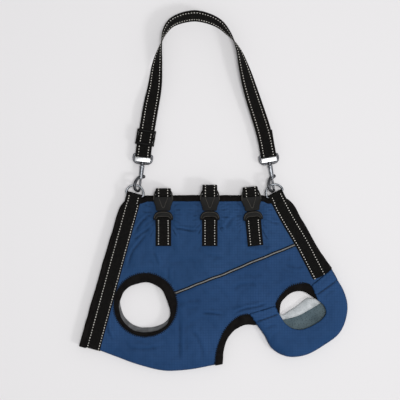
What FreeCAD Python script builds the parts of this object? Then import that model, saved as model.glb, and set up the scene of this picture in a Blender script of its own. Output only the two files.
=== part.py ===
import FreeCAD, Part
import math
import os
from FreeCAD import Placement, Rotation, Vector

# A padded full-body lifting sling for a dog, folded in half along its belly line and laid flat,
# with its hand strap laid out above it. +Z is up, +Y runs from the belly fold to the top of the
# hand strap, +X runs from the neck opening to the rear. The origin is on the resting plane, at
# the middle of the whole object's box. Every length is in millimetres.

doc = FreeCAD.newDocument("LiftSling")
sheet = doc.addObject("Spreadsheet::Sheet", "Sizes")

DRIVING = [
    # soft layers, from the outside in
    ("webbing_width", 25.0),
    ("webbing_thick", 1.4),
    ("shell_thick", 0.6),
    ("padding_thick", 3.0),
    ("lining_thick", 0.5),
    ("pocket_gap", 5.0),
    ("binding_width", 10.0),
    ("piping_width", 3.0),
    ("piping_height", 1.2),
    # leg openings
    ("leg_hole_radius", 40.0),
    ("leg_binding_radius", 51.0),
    # D-rings
    ("ring_wire_radius", 1.25),
    ("ring_half_width", 13.9),
    ("ring_height", 16.0),
    # bolt snap hooks
    ("jaw_wire_radius", 1.8),
    ("shank_radius", 4.0),
    ("shank_length", 21.0),
    ("bolt_radius", 1.6),
    ("bolt_clearance", 0.05),
    ("pivot_radius", 2.2),
    ("pivot_clearance", 0.05),
    ("pivot_head_radius", 3.4),
    ("eye_bar_radius", 1.8),
    ("eye_half_width", 14.6),
    ("eye_length", 14.0),
    ("spring_radius", 2.4),
    ("spring_wire_radius", 0.35),
    ("spring_length", 8.0),
    # three-bar slider
    ("slider_width", 30.0),
    ("slider_length", 25.0),
    ("slider_bar", 4.0),
    ("slider_rail", 2.0),
    # side-release buckles
    ("buckle_thick", 8.4),
    ("tongue_width", 5.6),
    ("tongue_thick", 2.4),
    ("prong_thick", 3.6),
    ("prong_width", 3.0),
    ("wall_thick", 1.6),
]
for row, (alias, value) in enumerate(DRIVING, start=1):
    sheet.set(f"A{row}", alias)
    sheet.set(f"B{row}", str(value))
    sheet.setAlias(f"B{row}", alias)

# Heights of the layers, each resting on the one below it.
LEVELS = [
    ("back_shell_z", "=webbing_thick"),
    ("back_padding_z", "=back_shell_z + shell_thick"),
    ("back_lining_z", "=back_padding_z + padding_thick"),
    ("gap_z", "=back_lining_z + lining_thick"),
    ("front_lining_z", "=gap_z + pocket_gap"),
    ("front_padding_z", "=front_lining_z + lining_thick"),
    ("front_shell_z", "=front_padding_z + padding_thick"),
    ("front_face_z", "=front_shell_z + shell_thick"),
    ("panel_thick", "=shell_thick + padding_thick + lining_thick"),
    ("floor_z", "=0"),
    ("fold_gap", "=pocket_gap"),
    ("buckle_z", "=front_face_z + webbing_thick + 0.4"),
    ("webbing_half", "=webbing_width / 2"),
]
for row, (alias, formula) in enumerate(LEVELS, start=len(DRIVING) + 1):
    sheet.set(f"A{row}", alias)
    sheet.set(f"B{row}", formula)
    sheet.setAlias(f"B{row}", alias)
doc.recompute()

nodes = {}


def size(alias):
    return float(sheet.get(alias))


def turned(x, y, z, degrees):
    return Placement(Vector(x, y, z), Rotation(Vector(0, 0, 1), degrees))


def node(name, solid, placement=None):
    solid.Label = name
    if placement is not None:
        solid.Placement = placement
    nodes[name] = solid
    return solid


# ---- outlines -------------------------------------------------------------------------------


def edges_of(run):
    """One straight edge between two points, or one smooth curve through more of them."""
    points = [Vector(x, y, 0) for x, y in run]
    if len(points) == 2:
        return [Part.LineSegment(points[0], points[1])]
    curve = Part.BSplineCurve()
    curve.interpolate(points)
    return [curve]


def outline(*runs):
    """Closes the runs into one loop, each starting where the last one ended."""
    loop = []
    for run, following in zip(runs, runs[1:] + runs[:1]):
        loop += edges_of(run)
        if math.dist(run[-1], following[0]) > 0.001:
            loop += edges_of([run[-1], following[0]])
    return loop


def polygon(points):
    loop = []
    for here, there in zip(points, points[1:] + points[:1]):
        loop += edges_of([here, there])
    return loop


def beside(points, distance):
    """The same run moved sideways, to its left when the distance is positive."""
    moved = []
    for i, (x, y) in enumerate(points):
        before = points[max(i - 1, 0)]
        after = points[min(i + 1, len(points) - 1)]
        dx = after[0] - before[0]
        dy = after[1] - before[1]
        length = math.hypot(dx, dy)
        moved.append((x - dy / length * distance, y + dx / length * distance))
    return moved


def ribbon(points, width):
    """A band of constant width along a smooth run."""
    left = beside(points, width / 2)
    right = beside(points, -width / 2)
    return outline(left, right[::-1])


def mitred(points, distance):
    """A bent line moved sideways, each stretch by the same distance, to its left if positive."""
    moved = []
    for i, here in enumerate(points):
        before = points[max(i - 1, 0)]
        after = points[min(i + 1, len(points) - 1)]
        came = math.atan2(here[1] - before[1], here[0] - before[0])
        goes = math.atan2(after[1] - here[1], after[0] - here[0])
        if i == 0:
            came = goes
        if i == len(points) - 1:
            goes = came
        half_turn = math.remainder(goes - came, 2 * math.pi) / 2
        reach = distance / math.cos(half_turn)
        way = came + half_turn + math.pi / 2
        moved.append((here[0] + reach * math.cos(way), here[1] + reach * math.sin(way)))
    return moved


def folded_strip(points, thickness):
    """A band of constant thickness along a bent line with straight stretches."""
    left = mitred(points, thickness / 2)
    right = mitred(points, -thickness / 2)
    return polygon(left + right[::-1])


def turned_round(bar_radius, thickness, y, z, first, last, steps=4):
    """Points that lead a strip round a bar, from one angle in degrees to another."""
    clear = bar_radius + thickness / 2 + 0.2
    step = (last - first) / steps
    radius = clear / math.cos(math.radians(step / 2))
    angles = [math.radians(first + i * step) for i in range(steps + 1)]
    return [(y + radius * math.cos(a), z + radius * math.sin(a)) for a in angles]


def circle(x, y, radius):
    return [Part.Circle(Vector(x, y, 0), Vector(0, 0, 1), radius)]


# ---- solids ---------------------------------------------------------------------------------


def plane_of(body, role):
    return next(f for f in body.Origin.OriginFeatures if f.Role == role)


def plate(name, loops, base, thickness, role="XY_Plane", both_ways=False):
    """A PartDesign body: one sketch, padded by a cell of the sheet."""
    body = doc.addObject("PartDesign::Body", name + "_body")
    sketch = body.newObject("Sketcher::SketchObject", name + "_outline")
    sketch.AttachmentSupport = [(plane_of(body, role), "")]
    sketch.MapMode = "FlatFace"
    sketch.setExpression("AttachmentOffset.Base.z", base)
    for loop in loops:
        for edge in loop:
            sketch.addGeometry(edge, False)
    pad = body.newObject("PartDesign::Pad", name + "_pad")
    pad.Profile = sketch
    pad.Midplane = both_ways
    pad.setExpression("Length", thickness)
    return body


def primitive(kind, name, place=None, **cells):
    solid = doc.addObject("Part::" + kind, name)
    for dimension, formula in cells.items():
        solid.setExpression(dimension, formula)
    if place is not None:
        solid.Placement = place
    return solid


def fused(name, solids):
    joined = doc.addObject("Part::MultiFuse", name)
    joined.Shapes = solids
    return joined


def cut(name, base, tool):
    rest = doc.addObject("Part::Cut", name)
    rest.Base = base
    rest.Tool = tool
    return rest


def together(name, solids):
    """Identical separate pieces that share one node."""
    group = doc.addObject("Part::Compound", name)
    group.Links = solids
    return group


def rod(name, start, end, radius, place=None):
    """A round bar between two points of its own frame; radius is a cell of the sheet."""
    bar = doc.addObject("Part::Cylinder", name)
    bar.setExpression("Radius", radius)
    way = Vector(*end) - Vector(*start)
    bar.Height = way.Length
    bar.Placement = Placement(Vector(*start), Rotation(Vector(0, 0, 1), way))
    return bar


def ball(name, centre, radius):
    return primitive("Sphere", name, Placement(Vector(*centre), Rotation()), Radius=radius)


def bent_rod(name, points, radius, closed=False):
    """A wire bent through its points, round at every bend."""
    solids = []
    ends = points[1:] + points[:1] if closed else points[1:]
    for i, (start, end) in enumerate(zip(points, ends)):
        solids.append(rod(f"{name}_run_{i}", start, end, radius))
    for i, point in enumerate(points):
        solids.append(ball(f"{name}_bend_{i}", point, radius))
    return fused(name, solids)


# ---- the sling's two folded-over halves -----------------------------------------------------

NECK = [(-147, -20), (-163, -63.5), (-178, -113.5), (-193, -165), (-205.5, -209), (-216, -242)]
FOLD = [(-213.5, -247.5), (-187, -254.7), (-163, -263.5), (-120, -279), (-78, -288.5)]
FOLD += [(-43, -287), (2.5, -279)]
TOP = [(-147, -20), (-143.5, -10), (-115, -17.6), (-108, -9), (80, -9), (89.3, -18.6)]
TOP += [(115.9, -4.8), (121, -14)]
REAR = [(121, -14), (142, -47.5), (174.8, -104), (189, -124)]
REAR_LEG_TOP = [(98.7, -183), (103.6, -172), (113, -160), (125, -151), (139.3, -147.2)]
REAR_LEG_TOP += [(156, -150.5)]
REAR_LEG_RIM = [(105.5, -197), (105.2, -190), (108.5, -179), (115, -170.8), (122.7, -163.7)]
REAR_LEG_RIM += [(131, -160.5), (140.4, -160), (148.6, -163.7), (155.7, -169), (166, -174)]
NOTCH = [(56.5, -196), (40.6, -200), (28.2, -209), (16, -225), (8.5, -242), (3.5, -262)]
NOTCH += [(2.5, -279)]
NOTCH_RIM = [(69, -214.5), (50.4, -214.5), (38, -220), (28.2, -228.6), (20.8, -239.7)]
NOTCH_RIM += [(15.9, -257), (14.5, -277)]
BAND_OUTER = [(199.5, -142.5), (208, -157), (215.5, -185), (213.6, -202), (203, -227)]
BAND_OUTER += [(178, -247), (145, -264), (119, -265.8), (94.3, -253.4), (80.2, -230), (69, -214.5)]
BAND_INNER = [(166, -174), (177, -184), (180, -194), (173.5, -205), (162.8, -212.5)]
BAND_INNER += [(151, -218.5), (139.3, -221.5), (127.3, -220), (116, -213), (105.5, -197)]
PIPING = [(-62, -162.8), (-39.6, -154), (3.5, -137.5), (28, -127.7), (60, -114.3), (99, -98)]
PIPING += [(125, -88)]
LEG_HOLE = (-110.8, -186.3)
LEG_BINDING = (-109.8, -181.7)

binding_width = size("binding_width")
neck_inner = beside(NECK, binding_width)
rear_inner = beside(REAR, -binding_width)
rear_inner[-1] = (181, -130)
TOP_INNER = [(-113, -25.5), (-104.5, -16), (77, -16), (87.5, -27.5)]


def top_loop():
    points = TOP + [rear_inner[0]] + TOP_INNER[::-1] + [neck_inner[0]]
    return polygon(points)


def panel_loops():
    """The cut of one half, inside its bindings."""
    around = outline(
        neck_inner,
        [NECK[-1], FOLD[0]],
        FOLD,
        NOTCH[::-1],
        REAR_LEG_TOP,
        rear_inner[::-1],
        [TOP_INNER[3], TOP_INNER[2]],
        [TOP_INNER[1], TOP_INNER[0]],
    )
    return [around, circle(*LEG_BINDING, size("leg_binding_radius"))]


LAYERS = [
    ("back_shell", "Sizes.back_shell_z", "Sizes.shell_thick"),
    ("back_padding", "Sizes.back_padding_z", "Sizes.padding_thick"),
    ("back_lining", "Sizes.back_lining_z", "Sizes.lining_thick"),
    ("front_lining", "Sizes.front_lining_z", "Sizes.lining_thick"),
    ("front_padding", "Sizes.front_padding_z", "Sizes.padding_thick"),
]
for layer, base, thickness in LAYERS:
    node(layer, plate(layer, panel_loops(), base, thickness))


def front_shells():
    """The front shell is two panels that meet at the piped seam."""
    whole = plate("front_shell", panel_loops(), "Sizes.front_shell_z", "Sizes.shell_thick")
    half = size("piping_width") / 2
    beyond = 300
    for name, side in (("front_shell_upper", half), ("front_shell_lower", -half)):
        seam = beside([(-230, -196)] + PIPING + [(230, -48)], side)
        reach = beyond if side > 0 else -2 * beyond
        zone = outline(seam[:2], seam[1:-1], seam[-2:], [(230, reach), (-230, reach)])
        tool = plate(name + "_zone", [zone], "Sizes.front_shell_z", "Sizes.shell_thick")
        panel = doc.addObject("Part::Common", name)
        panel.Base = whole
        panel.Tool = tool
        node(name, panel)


front_shells()


def seam_piping():
    """A corded strip stands proud of the shell on the seam of each half."""
    path = [ribbon(PIPING, size("piping_width") - 0.4)]
    front = plate("piping_front", path, "Sizes.front_face_z - Sizes.shell_thick",
                  "Sizes.shell_thick + Sizes.piping_height")
    back = plate("piping_back", path, "Sizes.back_shell_z - Sizes.piping_height",
                 "Sizes.piping_height")
    node("seam_piping", together("seam_piping", [front, back]))


seam_piping()

# Bindings fold over the cut edges of all three layers, so they are as thick as a whole half.
BINDINGS = [
    ("neck_binding", [outline(NECK, neck_inner[::-1])]),
    ("front_leg_binding", [circle(*LEG_BINDING, size("leg_binding_radius")),
                           circle(*LEG_HOLE, size("leg_hole_radius"))]),
    ("rear_leg_binding", [outline(REAR_LEG_TOP, REAR_LEG_RIM[::-1])]),
    ("belly_notch_binding", [outline(NOTCH, NOTCH_RIM[::-1])]),
]
for binding, loops in BINDINGS:
    for half, base in (("front", "Sizes.front_lining_z"), ("back", "Sizes.back_shell_z")):
        name = f"{binding}_{half}"
        node(name, plate(name, loops, base, "Sizes.panel_thick"))


def top_bindings():
    """One tape runs along the top edge and on down the rear edge to the leg band."""
    for half, base in (("front", "Sizes.front_lining_z"), ("back", "Sizes.back_shell_z")):
        name = f"top_binding_{half}"
        along_top = plate(name + "_top", [top_loop()], base, "Sizes.panel_thick")
        down_rear = plate(name + "_rear", [outline(REAR, rear_inner[::-1])], base,
                          "Sizes.panel_thick")
        node(name, fused(name, [along_top, down_rear]))


top_bindings()

# The belly fold joins the two halves along the bottom edge.
fold_inner = beside(FOLD, size("panel_thick"))
node("belly_fold", plate("belly_fold", [outline(FOLD, fold_inner[::-1])], "Sizes.gap_z",
                         "Sizes.fold_gap"))


def rear_band():
    """The rear leg band: a padded U, folded front to back along its outer edge."""
    loop = outline([REAR[-1], BAND_OUTER[0]], BAND_OUTER, NOTCH[:1] + REAR_LEG_TOP[:1],
                   [REAR_LEG_TOP[0], REAR_LEG_RIM[0]], BAND_INNER[::-1],
                   [REAR_LEG_RIM[-1], REAR_LEG_TOP[-1]])
    for name, base in (("rear_band_front", "Sizes.front_lining_z"),
                       ("rear_band_back", "Sizes.back_shell_z")):
        node(name, plate(name, [loop], base, "Sizes.panel_thick"))
    inner = beside(BAND_OUTER, -size("panel_thick"))
    wall = plate("rear_band_fold", [outline(BAND_OUTER, inner[::-1])], "Sizes.gap_z",
                 "Sizes.fold_gap")
    node("rear_band_fold", wall)


rear_band()

# ---- webbing on the sling -------------------------------------------------------------------

NECK_BAR = (-127.3, -5.4)
NECK_SLANT = -15.3
REAR_BAR = (98.7, -4.2)
REAR_SLANT = 27.4
WEBBING_START = 12.5
CORNERS = [("neck", NECK_BAR, NECK_SLANT, 249.0), ("rear", REAR_BAR, REAR_SLANT, 146.0)]


def strip(half_width, top, bottom):
    return polygon([(-half_width, top), (half_width, top), (half_width, bottom),
                    (-half_width, bottom)])


def corner_webbing():
    """Flat webbing sewn down both faces from each pair of D-rings to the belly."""
    half_width = size("webbing_half")
    for corner, bar, slant, end in CORNERS:
        for half, base in (("front", "Sizes.front_face_z"), ("back", "Sizes.floor_z")):
            name = f"{corner}_webbing_{half}"
            loop = strip(half_width, -WEBBING_START, -end)
            solid = plate(name, [loop], base, "Sizes.webbing_thick")
            node(name, solid, turned(bar[0], bar[1], 0, slant))


corner_webbing()

FRONT_BAR_Z = 15.5
BACK_BAR_Z = 6.0


def ring_loops():
    """The webbing ends turned round the D-rings' bars, one pair at each corner."""
    thick = size("webbing_thick")
    wire = size("ring_wire_radius")
    start = -WEBBING_START + 0.1
    face = size("front_face_z") + thick / 2
    front = [(start, face), (start + 4, face)]
    front += turned_round(wire, thick, 0, FRONT_BAR_Z, 110, -110)
    back = [(start, thick / 2), (start + 6, thick / 2)]
    back += turned_round(wire, thick, 0, BACK_BAR_Z, -110, 110)
    for corner, bar, slant, _ in CORNERS:
        pair = []
        for half, profile in (("front", front), ("back", back)):
            pair.append(plate(f"{corner}_loop_{half}", [folded_strip(profile, thick)],
                              "Sizes.floor_z", "Sizes.webbing_width", "YZ_Plane", True))
        node(f"{corner}_ring_loops", together(f"{corner}_ring_loops", pair),
             turned(bar[0], bar[1], 0, slant))


ring_loops()

# ---- D-rings, two at each corner ------------------------------------------------------------

APEX_Z = 13.3
RING_SPREAD = 1.4


def d_rings():
    """Both rings of a corner meet in the snap hook; their bars lie in separate loops."""
    half_width = size("ring_half_width")
    height = size("ring_height")
    shape = [(-half_width, 0), (-half_width, 4), (-11.2, 10), (-6.5, 14.6), (0, height),
             (6.5, 14.6), (11.2, 10), (half_width, 4), (half_width, 0)]
    for corner, bar, slant, _ in CORNERS:
        pair = []
        for half, bar_z, apex_z in (("front", FRONT_BAR_Z, APEX_Z + RING_SPREAD),
                                    ("back", BACK_BAR_Z, APEX_Z - RING_SPREAD)):
            rise = (apex_z - bar_z) / height
            points = [(x, y, bar_z + y * rise) for x, y in shape]
            pair.append(bent_rod(f"{corner}_ring_{half}", points, "Sizes.ring_wire_radius", True))
        node(f"{corner}_d_rings", together(f"{corner}_d_rings", pair),
             turned(bar[0], bar[1], 0, slant))


d_rings()

# ---- swivel bolt snap hooks -----------------------------------------------------------------
# Each hook is drawn in its own frame: Y up the shank, the bolt on the Y axis, the jaw to -X.
# It is then rolled about its shank, so that the jaw's closed side stands over the rings.

HOOK_ROLL = 52.0
HOOKS = [("left", (-118.6, 10.5), -6.0), ("right", (95.8, 10.5), 9.4)]
HOOK_Z = 8.3
JAW = [(-1.5, 12.5), (-7, 10), (-11.5, 5), (-13, -1), (-11, -6.5), (-6.5, -9.8), (-2, -9.6)]
JAW += [(0, -7.4)]
SHANK_BOTTOM = 11.0


def hook_place(spot, lean, roll):
    upright = Rotation(Vector(0, 0, 1), lean) * Rotation(Vector(0, 1, 0), roll)
    return Placement(Vector(spot[0], spot[1], HOOK_Z), upright)


def along_y(x, y, z):
    return Placement(Vector(x, y, z), Rotation(Vector(1, 0, 0), -90))


def snap_hook(side, spot, lean):
    place = hook_place(spot, lean, HOOK_ROLL)
    level = hook_place(spot, lean, 0)
    shank_top = SHANK_BOTTOM + size("shank_length")
    bolt_bottom = -5.2
    bolt_top = SHANK_BOTTOM + 9.0
    knob_y = SHANK_BOTTOM + 3.0
    travel = 8.0

    jaw = bent_rod(f"{side}_jaw", [(x, y, 0) for x, y in JAW], "Sizes.jaw_wire_radius")
    shank = primitive("Cylinder", f"{side}_shank", along_y(0, SHANK_BOTTOM, 0),
                      Radius="Sizes.shank_radius", Height="Sizes.shank_length")
    pivot = primitive("Cylinder", f"{side}_pivot", along_y(0, shank_top - 1, 0),
                      Radius="Sizes.pivot_radius", Height="6")
    head = primitive("Cylinder", f"{side}_pivot_head", along_y(0, shank_top + 4.6, 0),
                     Radius="Sizes.pivot_head_radius", Height="1.6")
    blank = fused(f"{side}_hook_blank", [jaw, shank, pivot, head])
    bore = primitive("Cylinder", f"{side}_bolt_bore", along_y(0, SHANK_BOTTOM - 2, 0),
                     Radius="Sizes.bolt_radius + Sizes.bolt_clearance", Height="12")
    spring_room = primitive("Cylinder", f"{side}_spring_room", along_y(0, SHANK_BOTTOM + 7, 0),
                            Radius="Sizes.spring_radius + Sizes.spring_wire_radius + 0.2",
                            Height="12")
    slot = doc.addObject("Part::Box", f"{side}_knob_slot")
    slot.Length = 8
    slot.Width = 4.4 + travel
    slot.Height = 3.6
    slot.Placement = Placement(Vector(0, knob_y - 2.2, -1.8), Rotation())
    hollow = fused(f"{side}_hook_hollow", [bore, spring_room, slot])
    node(f"{side}_hook_body", cut(f"{side}_hook_body", blank, hollow), place)

    bolt = primitive("Cylinder", f"{side}_bolt_pin", along_y(0, bolt_bottom, 0),
                     Radius="Sizes.bolt_radius")
    bolt.Height = bolt_top - bolt_bottom
    stem = rod(f"{side}_knob_stem", (0, knob_y, 0), (5.0, knob_y, 0), "Sizes.bolt_radius")
    knob = rod(f"{side}_thumb_knob", (4.6, knob_y, 0), (7.6, knob_y, 0), "Sizes.bolt_radius * 1.7")
    node(f"{side}_hook_bolt", fused(f"{side}_hook_bolt", [bolt, stem, knob]), place)

    coil = doc.addObject("Part::Feature", f"{side}_hook_spring")
    coil.Shape = spring_shape(bolt_top + 0.3)
    node(f"{side}_hook_spring", coil, place)

    eye = eye_frame(side, shank_top)
    node(f"{side}_hook_eye", eye, level)


def spring_shape(start):
    """A helical compression spring along the shank, pressing on the bolt's upper end."""
    radius = size("spring_radius")
    wire = size("spring_wire_radius")
    turns = 6
    height = size("spring_length") - 2 * wire
    helix = Part.makeHelix(height / turns, height, radius)
    section = Part.Wire(Part.makeCircle(wire, Vector(radius, 0, 0), Vector(0, 1, 0)))
    coil = Part.Wire(helix.Edges).makePipeShell([section], True, True)
    coil.Placement = along_y(0, start + wire, 0)
    return Part.makeCompound([coil])


def eye_frame(side, shank_top):
    """The flat loop that the strap passes through, turning on the hook's pivot."""
    low = shank_top + 2.3
    high = low + size("eye_length")
    half_width = size("eye_half_width")
    loop = [(-half_width + 4, low, 0), (half_width - 4, low, 0), (half_width, low + 4, 0),
            (half_width, high, 0), (-half_width, high, 0), (-half_width, low + 4, 0)]
    frame = bent_rod(f"{side}_eye_loop", loop, "Sizes.eye_bar_radius", True)
    boss = primitive("Cylinder", f"{side}_eye_boss", along_y(0, low - 1.8, 0),
                     Radius="Sizes.pivot_head_radius + 0.8", Height="3.6")
    blank = fused(f"{side}_eye_blank", [frame, boss])
    bore = primitive("Cylinder", f"{side}_eye_bore", along_y(0, low - 4, 0),
                     Radius="Sizes.pivot_radius + Sizes.pivot_clearance", Height="8")
    return cut(f"{side}_hook_eye", blank, bore)


for hook_side, hook_spot, hook_lean in HOOKS:
    snap_hook(hook_side, hook_spot, hook_lean)

# ---- hand strap -----------------------------------------------------------------------------
# Stations along the strap: X, Y, Z of its middle and its twist about its own line in degrees.
# At no twist it lies flat; at a quarter turn it stands on its edge; past that it leans outward.

STRAP = [
    (-113.0, 61.5, 11.6, 0),
    (-109.3, 86.6, 12.0, 0),
    (-101.5, 133.3, 12.0, 0),
    (-94.7, 169.0, 12.6, 24),
    (-90.8, 205.3, 12.9, 48),
    (-84.0, 240.0, 13.1, 85),
    (-78.5, 257.0, 13.0, 102),
    (-67.5, 271.0, 12.9, 114),
    (-50.0, 278.8, 12.8, 121),
    (-30.3, 281.8, 12.8, 123),
    (-9.5, 277.8, 12.8, 120),
    (9.0, 269.0, 12.9, 113),
    (23.0, 255.0, 13.1, 100),
    (32.0, 243.0, 13.1, 85),
    (40.5, 226.0, 13.0, 68),
    (47.5, 203.0, 12.9, 48),
    (57.6, 167.3, 12.8, 24),
    (75.8, 110.3, 12.4, 4),
    (85.5, 63.5, 11.6, 0),
]


def strap_section(station, before, after):
    """The cross-section's four corners, as a closed wire square to the strap's line."""
    x, y, z, twist = station
    way = Vector(after[0] - before[0], after[1] - before[1], 0).normalize()
    inward = way.cross(Vector(0, 0, 1))
    lean = math.radians(twist)
    across = inward * math.cos(lean) + Vector(0, 0, 1) * math.sin(lean)
    through = Vector(0, 0, 1) * math.cos(lean) - inward * math.sin(lean)
    across = across * size("webbing_half")
    through = through * (size("webbing_thick") / 2)
    middle = Vector(x, y, z)
    corners = [middle + across + through, middle - across + through,
               middle - across - through, middle + across - through]
    return Part.makePolygon(corners + corners[:1])


def hand_strap():
    sections = []
    for i, station in enumerate(STRAP):
        before = STRAP[max(i - 1, 0)]
        after = STRAP[min(i + 1, len(STRAP) - 1)]
        sections.append(strap_section(station, before, after))
    strap = doc.addObject("Part::Feature", "hand_strap")
    strap.Shape = Part.makeLoft(sections, True, True)
    node("hand_strap", strap)


hand_strap()


def strap_end(name, side, lower_length, lower_z):
    """The webbing turned round the hook's eye and brought back under the strap."""
    _, spot, lean = next(hook for hook in HOOKS if hook[0] == side)
    thick = size("webbing_thick")
    bar_y = SHANK_BOTTOM + size("shank_length") + 2.3 + size("eye_length")
    top = STRAP[0][2] - HOOK_Z
    profile = turned_round(size("eye_bar_radius") + 0.1, thick, bar_y, 0, 80, 260)
    profile += [(bar_y + lower_length, lower_z - HOOK_Z)]
    solid = plate(name, [folded_strip(profile, thick)], "Sizes.floor_z", "Sizes.webbing_width",
                  "YZ_Plane", True)
    node(name, solid, hook_place(spot, lean, 0))


SLIDER_SPOT = (-109.3, 86.6)
SLIDER_LEAN = -9.5
strap_end("strap_return_tail", "left", 29.0, 7.9)
strap_end("strap_sewn_end", "right", 40.0, 10.2)


def slider():
    """Three cross bars between two rails; the strap runs over the middle one."""
    half_width = size("slider_width") / 2
    half_length = size("slider_length") / 2
    rail = size("slider_rail")
    bar_half = size("slider_bar") / 2
    rails = []
    for i, x in enumerate((-half_width, half_width - rail)):
        box = primitive("Box", f"slider_rail_{i}", Placement(Vector(x, -half_length, 9.2),
                                                             Rotation()),
                        Length="Sizes.slider_rail", Width="Sizes.slider_length", Height="6.4")
        rails.append(box)
    heights = [(-half_length, 13.4), (-bar_half, 9.2), (half_length - 2 * bar_half, 13.4)]
    for i, (y, z) in enumerate(heights):
        box = primitive("Box", f"slider_bar_{i}", Placement(Vector(-half_width, y, z), Rotation()),
                        Length="Sizes.slider_width", Width="Sizes.slider_bar", Height="1.6")
        rails.append(box)
    node("strap_slider", fused("strap_slider", rails),
         turned(SLIDER_SPOT[0], SLIDER_SPOT[1], 0, SLIDER_LEAN))


slider()

# ---- side-release buckles -------------------------------------------------------------------
# Each buckle has its own frame: Y up the buckle from the joint between its halves.

BUCKLES = [(1, (-80.8, -31.4), 0.0), (2, (-6.4, -31.4), 0.0), (3, (61.6, -31.4), 5.5)]
SOCKET = [(-11.5, 0.4), (-12.2, 7), (-15.8, 16), (-16, 27), (-12.5, 35), (12.5, 35), (16, 27)]
SOCKET += [(15.8, 16), (12.2, 7), (11.5, 0.4)]
COLLAR = [(-8, 0), (-12.5, -3), (-16, -9.5), (-15, -14.5), (15, -14.5), (16, -9.5), (12.5, -3)]
COLLAR += [(8, 0)]
PRONG_X = 8.5
PRONG_TIP = 16.0


def block(name, low, high):
    box = doc.addObject("Part::Box", name)
    box.Length = high[0] - low[0]
    box.Width = high[1] - low[1]
    box.Height = high[2] - low[2]
    box.Placement = Placement(Vector(*low), Rotation())
    return box


def buckle(number, spot, lean):
    base = size("buckle_z")
    thick = size("buckle_thick")
    middle = base + thick / 2
    place = turned(spot[0], spot[1], 0, lean)
    tag = f"buckle_{number}"
    prong_half = size("prong_thick") / 2
    tongue_half = size("tongue_width") / 2
    tongue_deep = size("tongue_thick") / 2

    shell = plate(f"{tag}_socket_blank", [polygon(SOCKET)], "Sizes.buckle_z",
                  "Sizes.buckle_thick")
    room = prong_half + 0.4
    mouth = block(f"{tag}_mouth", (-10.6, -1, middle - room), (10.6, 18.5, middle + room))
    windows = block(f"{tag}_windows", (-20, 7.6, middle - room), (20, 16.4, middle + room))
    slot = block(f"{tag}_strap_slot", (-13, 24.5, base - 1), (13, 30.5, base + thick + 1))
    node(f"{tag}_socket", cut(f"{tag}_socket", shell,
                              fused(f"{tag}_socket_hollow", [mouth, windows, slot])), place)

    collar = plate(f"{tag}_collar", [polygon(COLLAR)], "Sizes.buckle_z", "Sizes.buckle_thick")
    tongue = block(f"{tag}_tongue", (-tongue_half, -1, middle - tongue_deep),
                   (tongue_half, 15, middle + tongue_deep))
    throat = block(f"{tag}_throat", (-13, -16, base - 1), (13, -7.5, base + thick + 1))
    bar = rod(f"{tag}_bar", (-14, -12, base + 1.8), (14, -12, base + 1.8), "Sizes.wall_thick")
    plug = fused(f"{tag}_plug", [cut(f"{tag}_collar_open", collar, throat), tongue, bar])
    node(f"{tag}_plug", plug, place)

    for side, sign in (("left", -1), ("right", 1)):
        heel = rod(f"{tag}_{side}_heel", (sign * PRONG_X, 1.9, middle - prong_half),
                   (sign * PRONG_X, 1.9, middle + prong_half), "Sizes.prong_width / 2")
        inner = sign * (PRONG_X - 1.5)
        outer = sign * (PRONG_X + 1.5)
        pad = sign * 13.4
        arm = [(inner, 1.9), (outer, 1.9), (outer, 8.2), (pad, 9.4), (pad, 12), (outer, PRONG_TIP),
               (inner, PRONG_TIP)]
        arm = plate(f"{tag}_{side}_arm", [polygon(arm)],
                    "Sizes.buckle_z + (Sizes.buckle_thick - Sizes.prong_thick) / 2",
                    "Sizes.prong_thick")
        node(f"{tag}_prong_{side}", fused(f"{tag}_prong_{side}", [heel, arm]), place)

    webbing = size("webbing_thick")
    face = size("front_face_z") + webbing / 2
    top = base + thick
    tab = [(-56, face), (-21, face), (-16.5, base + 4.6), (-8.6, base + 4.6)]
    node(f"{tag}_tab", plate(f"{tag}_tab", [folded_strip(tab, webbing)], "Sizes.floor_z",
                             "Sizes.webbing_width", "YZ_Plane", True), place)
    loop = [(27.5, base + 3), (27.5, top + 1), (36, top + 1), (38, 20), (38, 12),
            (33, 3.2), (24, webbing / 2), (-25, webbing / 2)]
    node(f"{tag}_loop", plate(f"{tag}_loop", [folded_strip(loop, webbing)], "Sizes.floor_z",
                              "Sizes.webbing_width", "YZ_Plane", True), place)


for buckle_number, buckle_spot, buckle_lean in BUCKLES:
    buckle(buckle_number, buckle_spot, buckle_lean)

# ---- check and write ------------------------------------------------------------------------

doc.recompute()
for item in doc.Objects:
    if "Invalid" in item.State or "Error" in item.State:
        raise RuntimeError(f"{item.Name} failed: {item.State}")
os.makedirs("parts", exist_ok=True)
for name, item in nodes.items():
    shape = item.Shape
    if shape.isNull() or not shape.isValid() or shape.Volume <= 0:
        raise RuntimeError(f"{name} has no valid solid")
    shape.exportStep(f"parts/{name}.step")
box = Part.makeCompound([item.Shape for item in nodes.values()]).BoundBox
print(len(nodes), "nodes; X", round(box.XMin, 2), round(box.XMax, 2), "Y", round(box.YMin, 2),
      round(box.YMax, 2), "Z", round(box.ZMin, 2), round(box.ZMax, 2))
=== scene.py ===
"""The looks of a dog's full-body lifting sling, folded along its belly line and laid flat.

Everything is modelled in millimetres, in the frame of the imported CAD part, and turned into
metres when an object is made. +Z is up, +X runs from neck to rear, +Y towards the hand strap.
"""

import math
import random

import bmesh
import bpy
import numpy as np
from mathutils import Matrix, Vector, noise
from mathutils.geometry import delaunay_2d_cdt


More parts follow.
